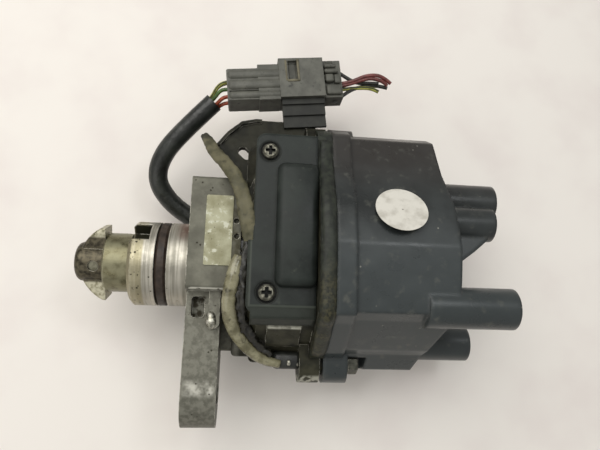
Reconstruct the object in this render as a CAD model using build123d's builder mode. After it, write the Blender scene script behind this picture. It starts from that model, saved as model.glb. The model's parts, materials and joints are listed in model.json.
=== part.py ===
"""Ignition distributor with a built-in coil, for a four-cylinder engine, lying on its side.

Millimetres. +X runs along the drive shaft from the engine towards the cap, +Z is up, and the
origin is the centre of the mounting flange's face, on the shaft's axis.
"""

import os
from math import atan2, cos, degrees, hypot, pi, radians, sin, tan

from build123d import *

os.makedirs("parts", exist_ok=True)

# ---------------------------------------------------------------- driving dimensions
# Spigot and flange
spigot_diameter = 38.5
spigot_length = 26.0
spigot_chamfer = 1.6
seal_groove_start = 9.2  # from the flange's face
seal_groove_width = 5.2
seal_groove_depth = 3.6
o_ring_clearance = 0.3
o_ring_chamfer = 0.9
spigot_notch_length = 8.6
spigot_notch_width = 11.0
spigot_notch_depth = 6.5
spigot_notch_angle = 48.0  # round the shaft, from +Y towards +Z

# Flange block with the plate's pad, and the clamping ear
block_length = 22.5
block_low_y = -13.2
block_high_y = 36.8
block_top = 23.0
block_bottom = -22.0
block_corner = 1.6
neck_setback = 2.5
ear_thickness = 15.0
ear_reach = 57.5  # shaft axis to the slot's middle
ear_radius = 14.2
clamp_slot_width = 8.5
clamp_slot_length = 17.0
ear_pocket_depth = 5.0
ear_rib_width = 5.0
ear_rib_height = 3.6
ear_rib_length = 20.0
ear_rib_y = -19.2
ear_pocket_x = 5.2
ear_pocket_y = -20.2
ear_pocket_width = 5.6
ear_pocket_length = 9.0
plate_spots = [(20.2, 16.8), (20.6, 10.0)]  # X and Y of two drilled spots on the block's top
spot_diameter = 2.4
spot_depth = 2.5

# Bowl of the housing and its joint face with the cap
bowl_back = 24.0
bowl_slope = 6.5
bowl_inset = 3.6
rim_start = 54.9
rim_face = 60.0
rim_inset = 0.4
cover_seat_drop = 12.5  # below the crown
foot_length = 9.0
foot_width = 38.0
pad_start = 35.0
pad_length = 14.5
pad_height = 1.8
pad_y = -32.0
pad_z = 17.5
pad_size = 13.0

# Joint outline, seen along the shaft: low side (-Y), crown, and coil side (+Y)
low_side = -46.0
coil_side = 62.5
crown_height = 41.5
base_height = -42.0
crown_blend = 24.0
corner_blend = 3.0

# Chamber and pockets inside the housing
chamber_radius = 23.0
chamber_floor = 30.0
coil_pocket_start = 37.5
coil_pocket_low_y = 26.5
coil_pocket_high_y = 55.5
coil_pocket_floor = -12.0
coil_core_width = 9.0
coil_core_bar = 3.0
coil_top_clearance = 3.0
pocket_clearance = 0.5

# Shaft train
shaft_diameter = 12.0
shaft_bore_clearance = 0.8
running_clearance = 0.05
collar_diameter = 27.0
collar_length = 11.4
collar_gap = 0.4
dog_length = 13.4
dog_boss_diameter = 18.0
dog_tip_radius = 16.6
dog_tip_length = 2.2
dog_wing_thickness = 11.0
dog_round = 1.5
shaft_turn = 22.0  # at rest, from +Y towards +Z
dog_pin_diameter = 4.6
bush_length = 12.0
bush_diameter = 16.0
bearing_diameter = 32.0
bearing_width = 9.0
ball_diameter = 5.0
ring_gap = 3.6  # between the bearing's rings
ball_count = 8
ball_circle = 22.0
oil_seal_diameter = 22.0
oil_seal_length = 5.0
small_screw_diameter = 3.0
small_screw_head = 5.4
small_screw_head_height = 1.8
small_screw_clearance = 0.1
shaft_flat_depth = 2.0
collar_chamfer = 0.8
dog_pin_setback = 4.6  # from the collar
dog_pin_inset = 0.8
dog_boss_round = 3.0
retainer_thickness = 1.5
retainer_clearance = 1.0
signal_rotor_start = 36.0
signal_rotor_length = 6.0
signal_rotor_radius = 13.5
signal_teeth = 24
signal_tooth_depth = 1.8
cylinder_rotor_start = 45.0
cylinder_rotor_length = 5.0
cylinder_rotor_radius = 12.0
pickup_gap = 0.7
pickup_angle = 235.0
pickup_spread = 60.0
pickup_bar_width = 2.4
pickup_coil_width = 5.6
pickup_coil_stand_off = 3.0
pickup_wall = 0.5

igniter_start = 46.0
igniter_y = -31.5
igniter_z = -18.0
igniter_width = 12.0
igniter_height = 26.0
igniter_thickness = 8.0
igniter_screw_places = [(-31.5, -28.5), (-31.5, -7.5)]

# Cap
gasket_thickness = 1.5
gasket_width = 4.0
cap_rim_length = 8.3
cap_lug_length = 11.1
cap_end = 114.4
cap_step = 1.8
cap_wall = 3.2
chamber_end = 97.0
cap_chamber_radius = 31.0
cap_slope_length = 9.5
cap_dome = 2.2
cap_slope_width = 20.0
cap_corner_length = 4.0
cap_corner_start = 34.0
cap_corner_end = 47.0
seal_height = 1.7

# Rotor arm and brush
rotor_start = 68.0
rotor_hub_radius = 10.0
rotor_face = 82.0
rotor_arm_width = 12.0
rotor_arm_thickness = 6.0
rotor_tail = 2.0
electrode_hub_radius = 4.5
rotor_turn = 75.0  # at rest, from +Y towards +Z
shaft_flat_length = 9.0
electrode_thickness = 1.6
electrode_width = 7.0
electrode_reach = 27.2
spark_gap = 0.8
terminal_depth = 3.0
terminal_back = 1.0  # behind the rotor arm's face
terminal_width = 4.0
brush_diameter = 5.0
brush_chamfer = 0.6
brush_length = 8.0
brush_stand_off = 0.2
brush_holder_diameter = 11.0
brush_holder_length = 8.0
brush_spring_wire = 0.5
brush_bore_depth = 3.0  # past the chamber's end
spring_turns = 4

# Plug-lead towers, and the breather beside them
tower_count = 4
tower_diameter = 17.5
tower_end = 139.0
socket_diameter = 12.4
socket_depth = 21.0
tower_circle_radius = 37.0
tower_circle_y = -0.8
tower_turn = 29.0
breather_diameter = 15.4
breather_y = 19.2
breather_z = 27.0
breather_end = 134.0
breather_hole = 5.0
breather_hole_depth = 14.0
breather_web_height = 11.0
breather_web_start = 4.0
breather_web_setback = 3.0
breather_web_drop = 13.0

# Cap bolts with flanged hexagon heads, and their lugs
bolt_diameter = 5.0
bolt_head_width = 8.0
bolt_head_height = 4.7
bolt_flange_diameter = 10.0
bolt_flange_thickness = 1.2
bolt_end_gap = 0.5
bolt_hole_clearance = 0.3
bolt_relief_length = 9.0
bolt_relief_clearance = 2.4
lug_radius = 8.5
lug_length = 9.3

# Coil cover
cover_start = 27.6
cover_foot_start = 25.6
cover_end = 54.6
cover_low_y = -23.0
cover_high_y = 55.0
cover_split_y = 7.0
cover_skirt_drop = 4.0  # below the seat
cover_skirt_thickness = 1.7
cover_thickness = 2.8
cover_corner = 4.0
hump_start = 38.2
hump_rise = 4.4
hump_low_y = -11.0
hump_high_y = 40.0
hump_round = 1.6
hump_corner = 5.0
hump_slope = 25.0
cover_screw_places = [(33.6, 46.8), (34.0, -14.7)]
cover_screw_diameter = 4.0
cover_screw_head = 6.8
cover_screw_head_height = 2.2
cover_screw_length = 12.0
cover_screw_chamfer = 0.8
cross_recess_length = 4.2
cross_recess_width = 1.0
cross_recess_depth = 1.2
cover_recess_diameter = 9.0
cover_recess_depth = 0.8

# Seals, plate and sticker
upper_strip_diameter = 7.0
lower_strip_diameter = 6.0
strip_seat = 25.0
strip_clearance = 0.3
plate_start = 6.9
plate_width = 11.8
plate_low_y = -3.0
plate_high_y = 28.1
plate_corner = 0.8
plate_thickness = 0.5
sticker_diameter = 22.6
sticker_x = 89.5
sticker_y = 21.3
sticker_thickness = 0.2

# Wing of the casting that carries the connector
wing_low_z = 0.5
wing_thickness = 4.0
wing_lip = 1.6
wing_window_place = (22.2, 55.4)
wing_window_turn = -42.0
wing_window_length = 7.4
wing_window_width = 4.6
wing_edge_y = 73.2

# Connector, in its own axes: u along it, v across it, w up
connector_tilt = 6.5
connector_x = 12.8
connector_y = 80.6
connector_height = 13.0
connector_length = 26.2
connector_middle = 3.0
connector_width = 16.8
connector_step_start = 15.6
connector_step = 2.2
groove_places = [4.6, 12.8]
groove_width = 0.8
groove_depth = 0.8
hood_length = 22.6
hood_width = 21.0
hood_low_v = 0.1
hood_height = 16.0
hood_wall = 2.0
window_start = 4.6
window_width = 4.8
window_length = 10.4
window_edge = 1.4
plug_clearance = 0.3
plug_depth = 18.0
plug_rear_length = 9.0
plug_rear_width = 20.4
pin_diameter = 1.6
pin_length = 12.0
pin_pitch = 5.0
latch_height = 0.2
tongue_clearance = 0.8
plug_shell_margin = 0.8
plug_shell_gap = 0.5  # between the hood's mouth and the rear shell
connector_round = 1.0
harness_wire_places = [
    (14.5, 6.5, 26.0),
    (12.5, 3.5, 24.0),
    (10.0, 0.5, 21.0),
    (7.5, 5.0, 16.0),
    (5.0, 1.0, 14.0),
]
clip_margin = 0.6
clip_reach = 14.5
clip_thickness = 1.8
clip_rib = 1.2
clip_step = 6.0
clip_rib_width = 3.0

# Lead
sleeve_diameter = 9.8
lead_route = [
    (5.4, 83.6, 0.0),
    (-8.5, 70.5, -5.0),
    (-20.0, 58.0, -11.0),
    (-23.4, 46.5, -18.0),
    (-16.0, 36.0, -24.5),
    (-3.5, 28.5, -28.5),
    (9.5, 20.5, -29.5),
    (21.0, 14.5, -28.5),
]
grommet_diameter = 13.0
grommet_length = 4.0
upper_strip_route = [
    (5.0, 58.5, 10.0),
    (8.8, 48.8, 17.5),
    (13.6, 40.0, 26.0),
    (17.8, 33.5, 29.0),
    (20.8, 25.9, 29.3),
    (22.6, 17.2, 28.8),
    (23.0, 8.6, 28.8),
]
lower_strip_route = [
    (22.3, -0.2, 28.3),
    (20.0, -8.5, 28.3),
    (18.7, -18.4, 24.8),
    (21.8, -30.0, 16.5),
    (28.7, -38.1, 11.0),
    (35.6, -43.0, 8.0),
    (43.0, -45.0, 6.0),
]
wire_diameter = 1.9
sleeve_wire_circle = 5.2
lead_wire_turn = 30.0
lead_wire_ends = [(13.6, 5.0), (10.8, 1.5), (8.2, 5.5), (5.0, 2.0)]  # v and height at the connector


# ---------------------------------------------------------------- shared helpers
def across(x):
    """The plane across the shaft at x, with Y to the right and Z up."""
    return Plane.YZ.offset(x)


def finish(piece, name):
    """Labels a finished piece and writes it."""
    piece.part.label = name
    export_step(piece.part, f"parts/{name}.step")


def tube_radii(points):
    """The largest arc that each corner's two runs allow."""
    radii = []
    for before, corner, after in zip(points, points[1:], points[2:]):
        run_in = Vector(*corner) - Vector(*before)
        run_out = Vector(*after) - Vector(*corner)
        half_turn = radians(run_in.get_angle(run_out)) / 2
        radii.append(0.45 * min(run_in.length, run_out.length) / tan(half_turn))
    return radii


def tube(points, diameter):
    """Adds a round tube along a route of straight runs and tangent arcs."""
    with BuildLine() as route:
        if len(points) > 2:
            FilletPolyline(*points, radius=tube_radii(points))
        else:
            Line(*points)
    start = Vector(*points[0])
    with BuildSketch(Plane(origin=start, z_dir=Vector(*points[1]) - start)) as section:
        Circle(diameter / 2)
    sweep(section.sketch, path=route.line)


web_low_y = breather_y - breather_diameter / 2
breather_web = [
    (cap_end - breather_web_start, breather_y),
    (breather_end - breather_web_setback, breather_y),
    (breather_end - breather_web_setback, web_low_y),
    (breather_end - 3 * breather_web_setback, web_low_y - 0.4 * breather_web_drop),
    (cap_end, web_low_y - breather_web_drop),
    (cap_end - breather_web_start, web_low_y - breather_web_drop),
]
spigot_radius = spigot_diameter / 2
shaft_radius = shaft_diameter / 2
bearing_start = chamber_floor - bearing_width
collar_start = -spigot_length - collar_gap - collar_length
dog_start = collar_start - dog_length
cap_start = rim_face + gasket_thickness
cap_lug_end = cap_start + cap_lug_length
terminal_reach = electrode_reach + spark_gap
brush_start = rotor_face + electrode_thickness + brush_stand_off
socket_floor = tower_end - socket_depth
tower_places = [
    (
        tower_circle_y + tower_circle_radius * cos(radians(tower_turn + 360 / tower_count * n)),
        tower_circle_radius * sin(radians(tower_turn + 360 / tower_count * n)),
    )
    for n in range(tower_count)
]

# The joint's outline in Y and Z, shared by the housing's rim, the gasket and the cap.
outline_corners = [
    (low_side, -15.0),
    (low_side, 0.0),
    (low_side + 7.0, 8.5),
    (low_side + 9.0, 14.5),
    (low_side + 21.0, crown_height - 8.5),
    (low_side + 24.0, crown_height - 2.2),
    (6.0, crown_height),
    (crown_blend, crown_height - 3.2),
    (coil_side - 22.0, crown_height - 11.0),
    (coil_side - 5.5, crown_height - 14.5),
    (coil_side - 1.0, crown_height - 22.0),
    (coil_side, -8.0),
    (coil_side - 3.0, -22.0),
    (coil_side - 18.0, base_height + 6.0),
    (22.0, base_height),
    (-20.0, base_height),
    (low_side + 8.0, base_height + 9.0),
]
with BuildSketch() as joint_outline:
    with BuildLine():
        Polyline(*outline_corners, close=True)
    make_face()
    fillet(joint_outline.vertices().filter_by_position(Axis.X, crown_blend, crown_blend), crown_blend)
    fillet(
        [v for v in joint_outline.vertices() if any((v.X, v.Y) == corner for corner in outline_corners)],
        corner_blend,
    )


def inset_outline(inset):
    """The joint's outline moved inwards by inset."""
    if inset == 0:
        return joint_outline.sketch
    return offset(joint_outline.sketch, amount=-inset, mode=Mode.PRIVATE)


def lug_profile(radius, mode=Mode.ADD):
    """Draws the lugs for the cap bolts, each running inwards from its bolt, or cuts them away."""
    for y, z in bolt_places:
        inward = degrees(atan2(-z, -y))
        with Locations(Location((y, z), inward)):
            Circle(radius, mode=mode)
            Rectangle(1.5 * radius, 2 * radius, align=(Align.MIN, Align.CENTER), mode=mode)


def side_line(z):
    """Y of the housing's sloping side, below the cover's low edge, at height z."""
    (y_0, z_0), (y_1, z_1) = outline_corners[3:5]
    slope = (y_1 - y_0) / (z_1 - z_0)
    return y_0 + slope * (z - z_0) + bowl_inset * (1 + slope**2) ** 0.5


def crown_at(y):
    """Height of the joint outline's top at y, on the slope between the crown and the coil side."""
    (y_0, z_0), (y_1, z_1) = outline_corners[7:9]
    return z_0 + (z_1 - z_0) * (y - y_0) / (y_1 - y_0)


(crown_y, crown_z), (shoulder_y, shoulder_z) = outline_corners[7:9]
crown_normal = (0, crown_z - shoulder_z, shoulder_y - crown_y)
lead_direction = Vector(*lead_route[1]) - Vector(*lead_route[0])
lead_end_plane = Plane(origin=lead_route[-1], z_dir=Vector(*lead_route[-1]) - Vector(*lead_route[-2]))
lead_start_plane = Plane(origin=lead_route[0], z_dir=-1 * lead_direction)
cover_seat = crown_height - cover_seat_drop
cover_height = cover_seat + cover_thickness
bolt_places = [(low_side + 2.3, 0.0), (coil_side - 4.9, 13.0), (43.0, base_height + 8.0)]


# ---------------------------------------------------------------- housing
wing_corners = [
    (8.0, 58.5),
    (13.4, 65.7),
    (20.0, 71.5),
    (27.0, wing_edge_y),
    (57.0, wing_edge_y),
    (57.0, 50.0),
    (26.0, 34.0),
    (20.0, 34.0),
    (13.0, 48.5),
]
with BuildPart() as housing_casting:
    # Bowl: a sloped shoulder at the back, straight walls, and a rim for the cap
    with BuildSketch(across(bowl_back)):
        add(inset_outline(bowl_inset + bowl_slope))
    with BuildSketch(across(bowl_back + bowl_slope)):
        add(inset_outline(bowl_inset))
    loft()
    with BuildSketch(across(bowl_back + bowl_slope)):
        add(inset_outline(bowl_inset))
    extrude(amount=rim_start - bowl_back - bowl_slope)
    with BuildSketch(across(rim_start)):
        add(inset_outline(rim_inset))
    extrude(amount=rim_face - rim_start)
    with BuildSketch(Plane.XY.offset(cover_seat)):
        with Locations((rim_start, 0)):
            Rectangle(rim_start, 4 * coil_side, align=(Align.MAX, Align.CENTER))
    extrude(amount=crown_height, mode=Mode.SUBTRACT)
    # Lower step beside the seat for the sealing strips
    with BuildSketch(Plane.XY.offset(strip_seat)):
        with Locations((cover_start - strip_clearance, 0)):
            Rectangle(cover_start, 4 * coil_side, align=(Align.MAX, Align.CENTER))
    extrude(amount=crown_height, mode=Mode.SUBTRACT)
    # Cast foot under the bowl, level with the cap's rim
    with BuildSketch(across(bowl_back + bowl_slope)):
        with Locations((0, base_height)):
            Rectangle(foot_width, 2 * bowl_inset, align=(Align.CENTER, Align.MIN))
    extrude(amount=foot_length)
    # Flange block and the neck behind it
    with BuildSketch(across(0)) as block_face:
        with Locations(((block_low_y + block_high_y) / 2, (block_top + block_bottom) / 2)):
            Rectangle(block_high_y - block_low_y, block_top - block_bottom)
        fillet(block_face.vertices(), block_corner)
    extrude(amount=block_length)
    with BuildSketch(across(block_length)):
        add(offset(block_face.sketch, amount=-neck_setback, mode=Mode.PRIVATE))
    extrude(amount=bowl_back + 2.0 - block_length)
    # Clamping ear
    with BuildSketch(across(0)):
        with Locations((-ear_reach, 0)):
            Circle(ear_radius)
            Rectangle(ear_reach, 2 * ear_radius, align=(Align.MIN, Align.CENTER))
    extrude(amount=ear_thickness)
    with BuildSketch(Plane.XY.offset(ear_radius - ear_pocket_depth)) as ear_pocket:
        with Locations((ear_pocket_x, ear_pocket_y)):
            Rectangle(ear_pocket_width, ear_pocket_length)
        fillet(ear_pocket.vertices(), 1.5)
    extrude(amount=ear_pocket_depth, mode=Mode.SUBTRACT)
    with BuildSketch(Plane.XY.offset(ear_radius - 1.0)):
        with Locations((ear_thickness - ear_rib_width / 2, ear_rib_y)):
            SlotOverall(ear_rib_length, ear_rib_width, rotation=90)
    extrude(amount=ear_rib_height + 1.0)
    # Slot for the clamping bolt, along the turn that sets the timing
    with BuildSketch(across(0)):
        with Locations((-ear_reach, 0)):
            SlotOverall(clamp_slot_length, clamp_slot_width, rotation=90)
    extrude(amount=ear_thickness, mode=Mode.SUBTRACT)
    # Pad on the sloping side, below the cover
    with BuildSketch(across(pad_start)):
        add(inset_outline(bowl_inset - pad_height))
        with Locations((pad_y, pad_z)):
            Rectangle(pad_size, pad_size, mode=Mode.INTERSECT)
    extrude(amount=pad_length)
    # Wing with a window and a raised lip
    with BuildSketch(Plane.XY.offset(wing_low_z)) as wing:
        with BuildLine():
            Polyline(*wing_corners, close=True)
        make_face()
        with Locations(Location(wing_window_place, wing_window_turn)):
            SlotOverall(wing_window_length, wing_window_width, mode=Mode.SUBTRACT)
    extrude(amount=wing_thickness)
    with BuildSketch(Plane.XY.offset(wing_low_z + wing_thickness)):
        with BuildLine():
            Polyline(*wing_corners, close=True)
        make_face()
        offset(amount=-wing_lip, mode=Mode.SUBTRACT)
        with Locations(wing_corners[0]):
            Rectangle(22.0, 20.0, align=(Align.MIN, Align.MIN), mode=Mode.INTERSECT)
    extrude(amount=wing_lip)
    # Lugs for the cap bolts
    with BuildSketch(across(rim_face)):
        lug_profile(lug_radius)
    extrude(amount=-lug_length)
    # Spigot with the O-ring's groove and a notch in its wall
    with BuildSketch(across(-spigot_length)):
        Circle(spigot_radius)
    extrude(amount=spigot_length)
    chamfer(housing_casting.faces().sort_by(Axis.X)[0].outer_wire().edges(), spigot_chamfer)
    with BuildSketch(across(-seal_groove_start - seal_groove_width)):
        Circle(spigot_radius + 1)
        Circle(spigot_radius - seal_groove_depth, mode=Mode.SUBTRACT)
    extrude(amount=seal_groove_width, mode=Mode.SUBTRACT)
    with BuildSketch(across(-spigot_length)):
        with PolarLocations(spigot_radius, 1, start_angle=spigot_notch_angle):
            Rectangle(2 * spigot_notch_depth, spigot_notch_width)
    extrude(amount=spigot_notch_length, mode=Mode.SUBTRACT)
    # Chamber for the signal rotors, and the coil's pocket
    with BuildSketch(across(chamber_floor)):
        Circle(chamber_radius)
    extrude(amount=rim_face - chamber_floor, mode=Mode.SUBTRACT)
    with BuildSketch(across(coil_pocket_start)):
        with Locations((coil_pocket_low_y, coil_pocket_floor)):
            Rectangle(
                coil_pocket_high_y - coil_pocket_low_y,
                cover_seat - coil_pocket_floor + 5.0,
                align=(Align.MIN, Align.MIN),
            )
    extrude(amount=rim_start - coil_pocket_start, mode=Mode.SUBTRACT)
    # Pocket for the igniter
    with BuildSketch(across(igniter_start)):
        with Locations((igniter_y, igniter_z)):
            Rectangle(igniter_width + 2 * pocket_clearance, igniter_height + 2 * pocket_clearance)
    extrude(amount=rim_face - igniter_start, mode=Mode.SUBTRACT)
    # Seat for the lead's grommet
    with BuildSketch(lead_end_plane.offset(-grommet_length)) as grommet_seat:
        Circle(grommet_diameter / 2)
    extrude(grommet_seat.sketch, amount=2 * grommet_length, mode=Mode.SUBTRACT)
    # Bores for the shaft, bush, oil seal and bearing
    with BuildSketch(across(-spigot_length)):
        Circle(shaft_radius + shaft_bore_clearance)
    extrude(amount=spigot_length + chamber_floor, mode=Mode.SUBTRACT)
    with BuildSketch(across(-spigot_length)):
        Circle(bush_diameter / 2)
    extrude(amount=bush_length, mode=Mode.SUBTRACT)
    with BuildSketch(across(bearing_start)):
        Circle(oil_seal_diameter / 2)
    extrude(amount=-oil_seal_length - 1.0, mode=Mode.SUBTRACT)
    with BuildSketch(across(bearing_start)):
        Circle(bearing_diameter / 2)
    extrude(amount=bearing_width, mode=Mode.SUBTRACT)
    # Tapped holes for the cap bolts and the cover's screws
    with BuildSketch(across(rim_face)):
        with Locations(*bolt_places):
            Circle(bolt_diameter / 2)
    extrude(amount=-lug_length, mode=Mode.SUBTRACT)
    with BuildSketch(Plane.XY.offset(cover_seat)):
        with Locations(*cover_screw_places):
            Circle(cover_screw_diameter / 2)
    extrude(amount=cover_height - cover_recess_depth - cover_screw_length - cover_seat, mode=Mode.SUBTRACT)
    # Two drilled spots on the block
    with BuildSketch(Plane.XY.offset(block_top)):
        with Locations(*plate_spots):
            Circle(spot_diameter / 2)
    extrude(amount=-spot_depth, mode=Mode.SUBTRACT)
finish(housing_casting, "housing_casting")

with BuildPart() as spigot_o_ring:
    with BuildSketch(across(-seal_groove_start - seal_groove_width + o_ring_clearance)):
        Circle(spigot_radius - running_clearance)
        Circle(spigot_radius - seal_groove_depth, mode=Mode.SUBTRACT)
    extrude(amount=seal_groove_width - 2 * o_ring_clearance)
    chamfer(spigot_o_ring.edges().filter_by(GeomType.CIRCLE).sort_by(SortBy.RADIUS)[-2:], o_ring_chamfer)
finish(spigot_o_ring, "spigot_o_ring")

with BuildPart() as front_bush:
    with BuildSketch(across(-spigot_length)):
        Circle(bush_diameter / 2)
        Circle(shaft_radius + running_clearance, mode=Mode.SUBTRACT)
    extrude(amount=bush_length)
finish(front_bush, "front_bush")

with BuildPart() as oil_seal:
    with BuildSketch(across(bearing_start - pocket_clearance)):
        Circle(oil_seal_diameter / 2)
        Circle(shaft_radius + running_clearance, mode=Mode.SUBTRACT)
    extrude(amount=-oil_seal_length)
finish(oil_seal, "oil_seal")

ball_radius = ball_diameter / 2
ball_circle_radius = ball_circle / 2
bearing_middle = bearing_start + bearing_width / 2
with BuildPart() as bearing_outer_ring:
    with BuildSketch(across(bearing_start)):
        Circle(bearing_diameter / 2)
        Circle(ball_circle_radius + ring_gap / 2, mode=Mode.SUBTRACT)
    extrude(amount=bearing_width)
    with BuildSketch(Plane.XY):
        with Locations((bearing_middle, ball_circle_radius)):
            Circle(ball_radius + running_clearance)
    revolve(axis=Axis.X, mode=Mode.SUBTRACT)
finish(bearing_outer_ring, "bearing_outer_ring")

with BuildPart() as bearing_inner_ring:
    with BuildSketch(across(bearing_start)):
        Circle(ball_circle_radius - ring_gap / 2)
        Circle(shaft_radius, mode=Mode.SUBTRACT)
    extrude(amount=bearing_width)
    with BuildSketch(Plane.XY):
        with Locations((bearing_middle, ball_circle_radius)):
            Circle(ball_radius + running_clearance)
    revolve(axis=Axis.X, mode=Mode.SUBTRACT)
finish(bearing_inner_ring, "bearing_inner_ring")

with BuildPart() as bearing_balls:
    # Balls as eight-sided turned bodies
    with BuildSketch(Plane.XY) as ball_half:
        with Locations((bearing_middle, 0)):
            RegularPolygon(ball_radius, 8)
            Rectangle(ball_diameter, ball_diameter, align=(Align.CENTER, Align.MAX), mode=Mode.SUBTRACT)
    with BuildPart(mode=Mode.PRIVATE) as ball:
        add(ball_half.sketch)
        revolve(axis=Axis.X)
    for turn in range(ball_count):
        around = Rotation(X=turn * 360 / ball_count)
        add(around * Location((0, ball_circle_radius, 0)) * ball.part)
finish(bearing_balls, "bearing_balls")

retainer_screw_radius = (bearing_diameter + small_screw_head) / 2 + running_clearance
with BuildPart() as bearing_retainer:
    with BuildSketch(across(chamber_floor)):
        Circle(chamber_radius - retainer_clearance)
        Circle(bearing_diameter / 2 - retainer_thickness, mode=Mode.SUBTRACT)
        with PolarLocations(retainer_screw_radius, 2, start_angle=90):
            Circle(small_screw_diameter / 2 + small_screw_clearance, mode=Mode.SUBTRACT)
    extrude(amount=retainer_thickness)
finish(bearing_retainer, "bearing_retainer")

with BuildPart() as retainer_screws:
    with BuildSketch(across(chamber_floor)):
        with PolarLocations(retainer_screw_radius, 2, start_angle=90):
            Circle(small_screw_diameter / 2)
    extrude(amount=retainer_thickness)
    with BuildSketch(across(chamber_floor + retainer_thickness)):
        with PolarLocations(retainer_screw_radius, 2, start_angle=90):
            Circle(small_screw_head / 2)
    extrude(amount=small_screw_head_height)
finish(retainer_screws, "retainer_screws")

# ---------------------------------------------------------------- shaft train
shaft_flat = shaft_radius - shaft_flat_depth
with BuildPart() as drive_shaft:
    with BuildSketch(across(collar_start)):
        Circle(shaft_radius)
    extrude(amount=rotor_start + shaft_flat_length - collar_start)
    with BuildSketch(across(rotor_start)):
        with Locations((0, shaft_flat)):
            Rectangle(shaft_diameter, shaft_diameter, align=(Align.CENTER, Align.MIN))
    extrude(amount=shaft_flat_length, mode=Mode.SUBTRACT)
finish(drive_shaft, "drive_shaft")

with BuildPart() as drive_collar:
    with BuildSketch(across(collar_start)):
        Circle(collar_diameter / 2)
        Circle(shaft_radius, mode=Mode.SUBTRACT)
    extrude(amount=collar_length)
    chamfer(drive_collar.faces().sort_by(Axis.X)[0].outer_wire().edges(), collar_chamfer)
finish(drive_collar, "drive_collar")

turned = Plane.XY.rotated((shaft_turn, 0, 0))
pin_x = collar_start - dog_pin_setback
with BuildPart() as drive_dog:
    # Two wings with a rounded back, on a domed boss
    with BuildSketch(turned):
        with BuildLine():
            Polyline(
                (collar_start, -dog_tip_radius),
                (collar_start, dog_tip_radius),
                (collar_start - dog_tip_length, dog_tip_radius),
            )
            ThreePointArc(
                (collar_start - dog_tip_length, dog_tip_radius),
                (dog_start + 1.5, 0),
                (collar_start - dog_tip_length, -dog_tip_radius),
            )
            Line((collar_start - dog_tip_length, -dog_tip_radius), (collar_start, -dog_tip_radius))
        make_face()
    extrude(amount=dog_wing_thickness / 2, both=True)
    fillet(drive_dog.edges().filter_by(GeomType.CIRCLE), dog_round)
    with BuildSketch(across(collar_start)):
        Circle(dog_boss_diameter / 2)
    extrude(amount=-dog_length)
    fillet(drive_dog.faces().sort_by(Axis.X)[0].edges(), dog_boss_round)
    with BuildSketch(turned.offset(-dog_boss_diameter)):
        with Locations((pin_x, 0)):
            Circle(dog_pin_diameter / 2)
    extrude(amount=2 * dog_boss_diameter, mode=Mode.SUBTRACT)
finish(drive_dog, "drive_dog")

with BuildPart() as dog_pin:
    with BuildSketch(turned.offset(-dog_boss_diameter / 2 + dog_pin_inset)):
        with Locations((pin_x, 0)):
            Circle(dog_pin_diameter / 2)
    extrude(amount=dog_boss_diameter - 2 * dog_pin_inset)
finish(dog_pin, "dog_pin")


def toothed_ring(start, length, radius, teeth):
    """Adds a ring on the shaft with square teeth round it."""
    tooth_width = pi * radius / teeth
    root_radius = radius - signal_tooth_depth
    with BuildSketch(across(start)) as profile:
        Circle(root_radius)
        with PolarLocations(0, teeth, start_angle=shaft_turn):
            Rectangle(radius, tooth_width, align=(Align.MIN, Align.CENTER))
        Circle(shaft_radius, mode=Mode.SUBTRACT)
    extrude(profile.sketch, amount=length)


with BuildPart() as signal_rotor:
    toothed_ring(signal_rotor_start, signal_rotor_length, signal_rotor_radius, signal_teeth)
finish(signal_rotor, "signal_rotor")

with BuildPart() as cylinder_rotor:
    toothed_ring(cylinder_rotor_start, cylinder_rotor_length, cylinder_rotor_radius, tower_count)
finish(cylinder_rotor, "cylinder_rotor")

with BuildPart() as rotor_spacer:
    with BuildSketch(across(signal_rotor_start + signal_rotor_length)):
        Circle(shaft_radius + 2.0)
        Circle(shaft_radius, mode=Mode.SUBTRACT)
    extrude(amount=cylinder_rotor_start - signal_rotor_start - signal_rotor_length)
finish(rotor_spacer, "rotor_spacer")

# ---------------------------------------------------------------- pickups and igniter
pickups = [
    (signal_rotor_start + signal_rotor_length / 2, signal_rotor_radius, pickup_angle),
    (cylinder_rotor_start + cylinder_rotor_length / 2, cylinder_rotor_radius, pickup_angle + pickup_spread),
]
pickup_end_radius = chamber_radius - pickup_wall


def pickup_bar(middle, angle, start_radius, end_radius, width, mode=Mode.ADD):
    """Adds a square bar that points at the shaft, or cuts it away."""
    with BuildSketch(Plane.YZ.offset(middle - width / 2)) as profile:
        with PolarLocations(0, 1, start_angle=angle):
            with Locations((start_radius, 0)):
                Rectangle(end_radius - start_radius, width, align=(Align.MIN, Align.CENTER))
    extrude(profile.sketch, amount=width, mode=mode)


with BuildPart() as pickup_cores:
    for middle, radius, angle in pickups:
        pickup_bar(middle, angle, radius + pickup_gap, pickup_end_radius, pickup_bar_width)
finish(pickup_cores, "pickup_cores")

with BuildPart() as pickup_coils:
    for middle, radius, angle in pickups:
        coil_start = radius + pickup_coil_stand_off
        coil_end = pickup_end_radius - pickup_coil_stand_off / 2
        pickup_bar(middle, angle, coil_start, coil_end, pickup_coil_width)
        pickup_bar(middle, angle, radius, chamber_radius, pickup_bar_width, Mode.SUBTRACT)
finish(pickup_coils, "pickup_coils")

pickup_plate_start = chamber_floor + retainer_thickness
with BuildPart() as pickup_plate:
    with BuildSketch(across(pickup_plate_start)):
        Circle(pickup_end_radius)
        Circle(pickup_end_radius - pickup_wall, mode=Mode.SUBTRACT)
    extrude(amount=pickups[-1][0] - pickup_plate_start)
    add(pickup_cores.part, mode=Mode.SUBTRACT)
finish(pickup_plate, "pickup_plate")

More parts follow.
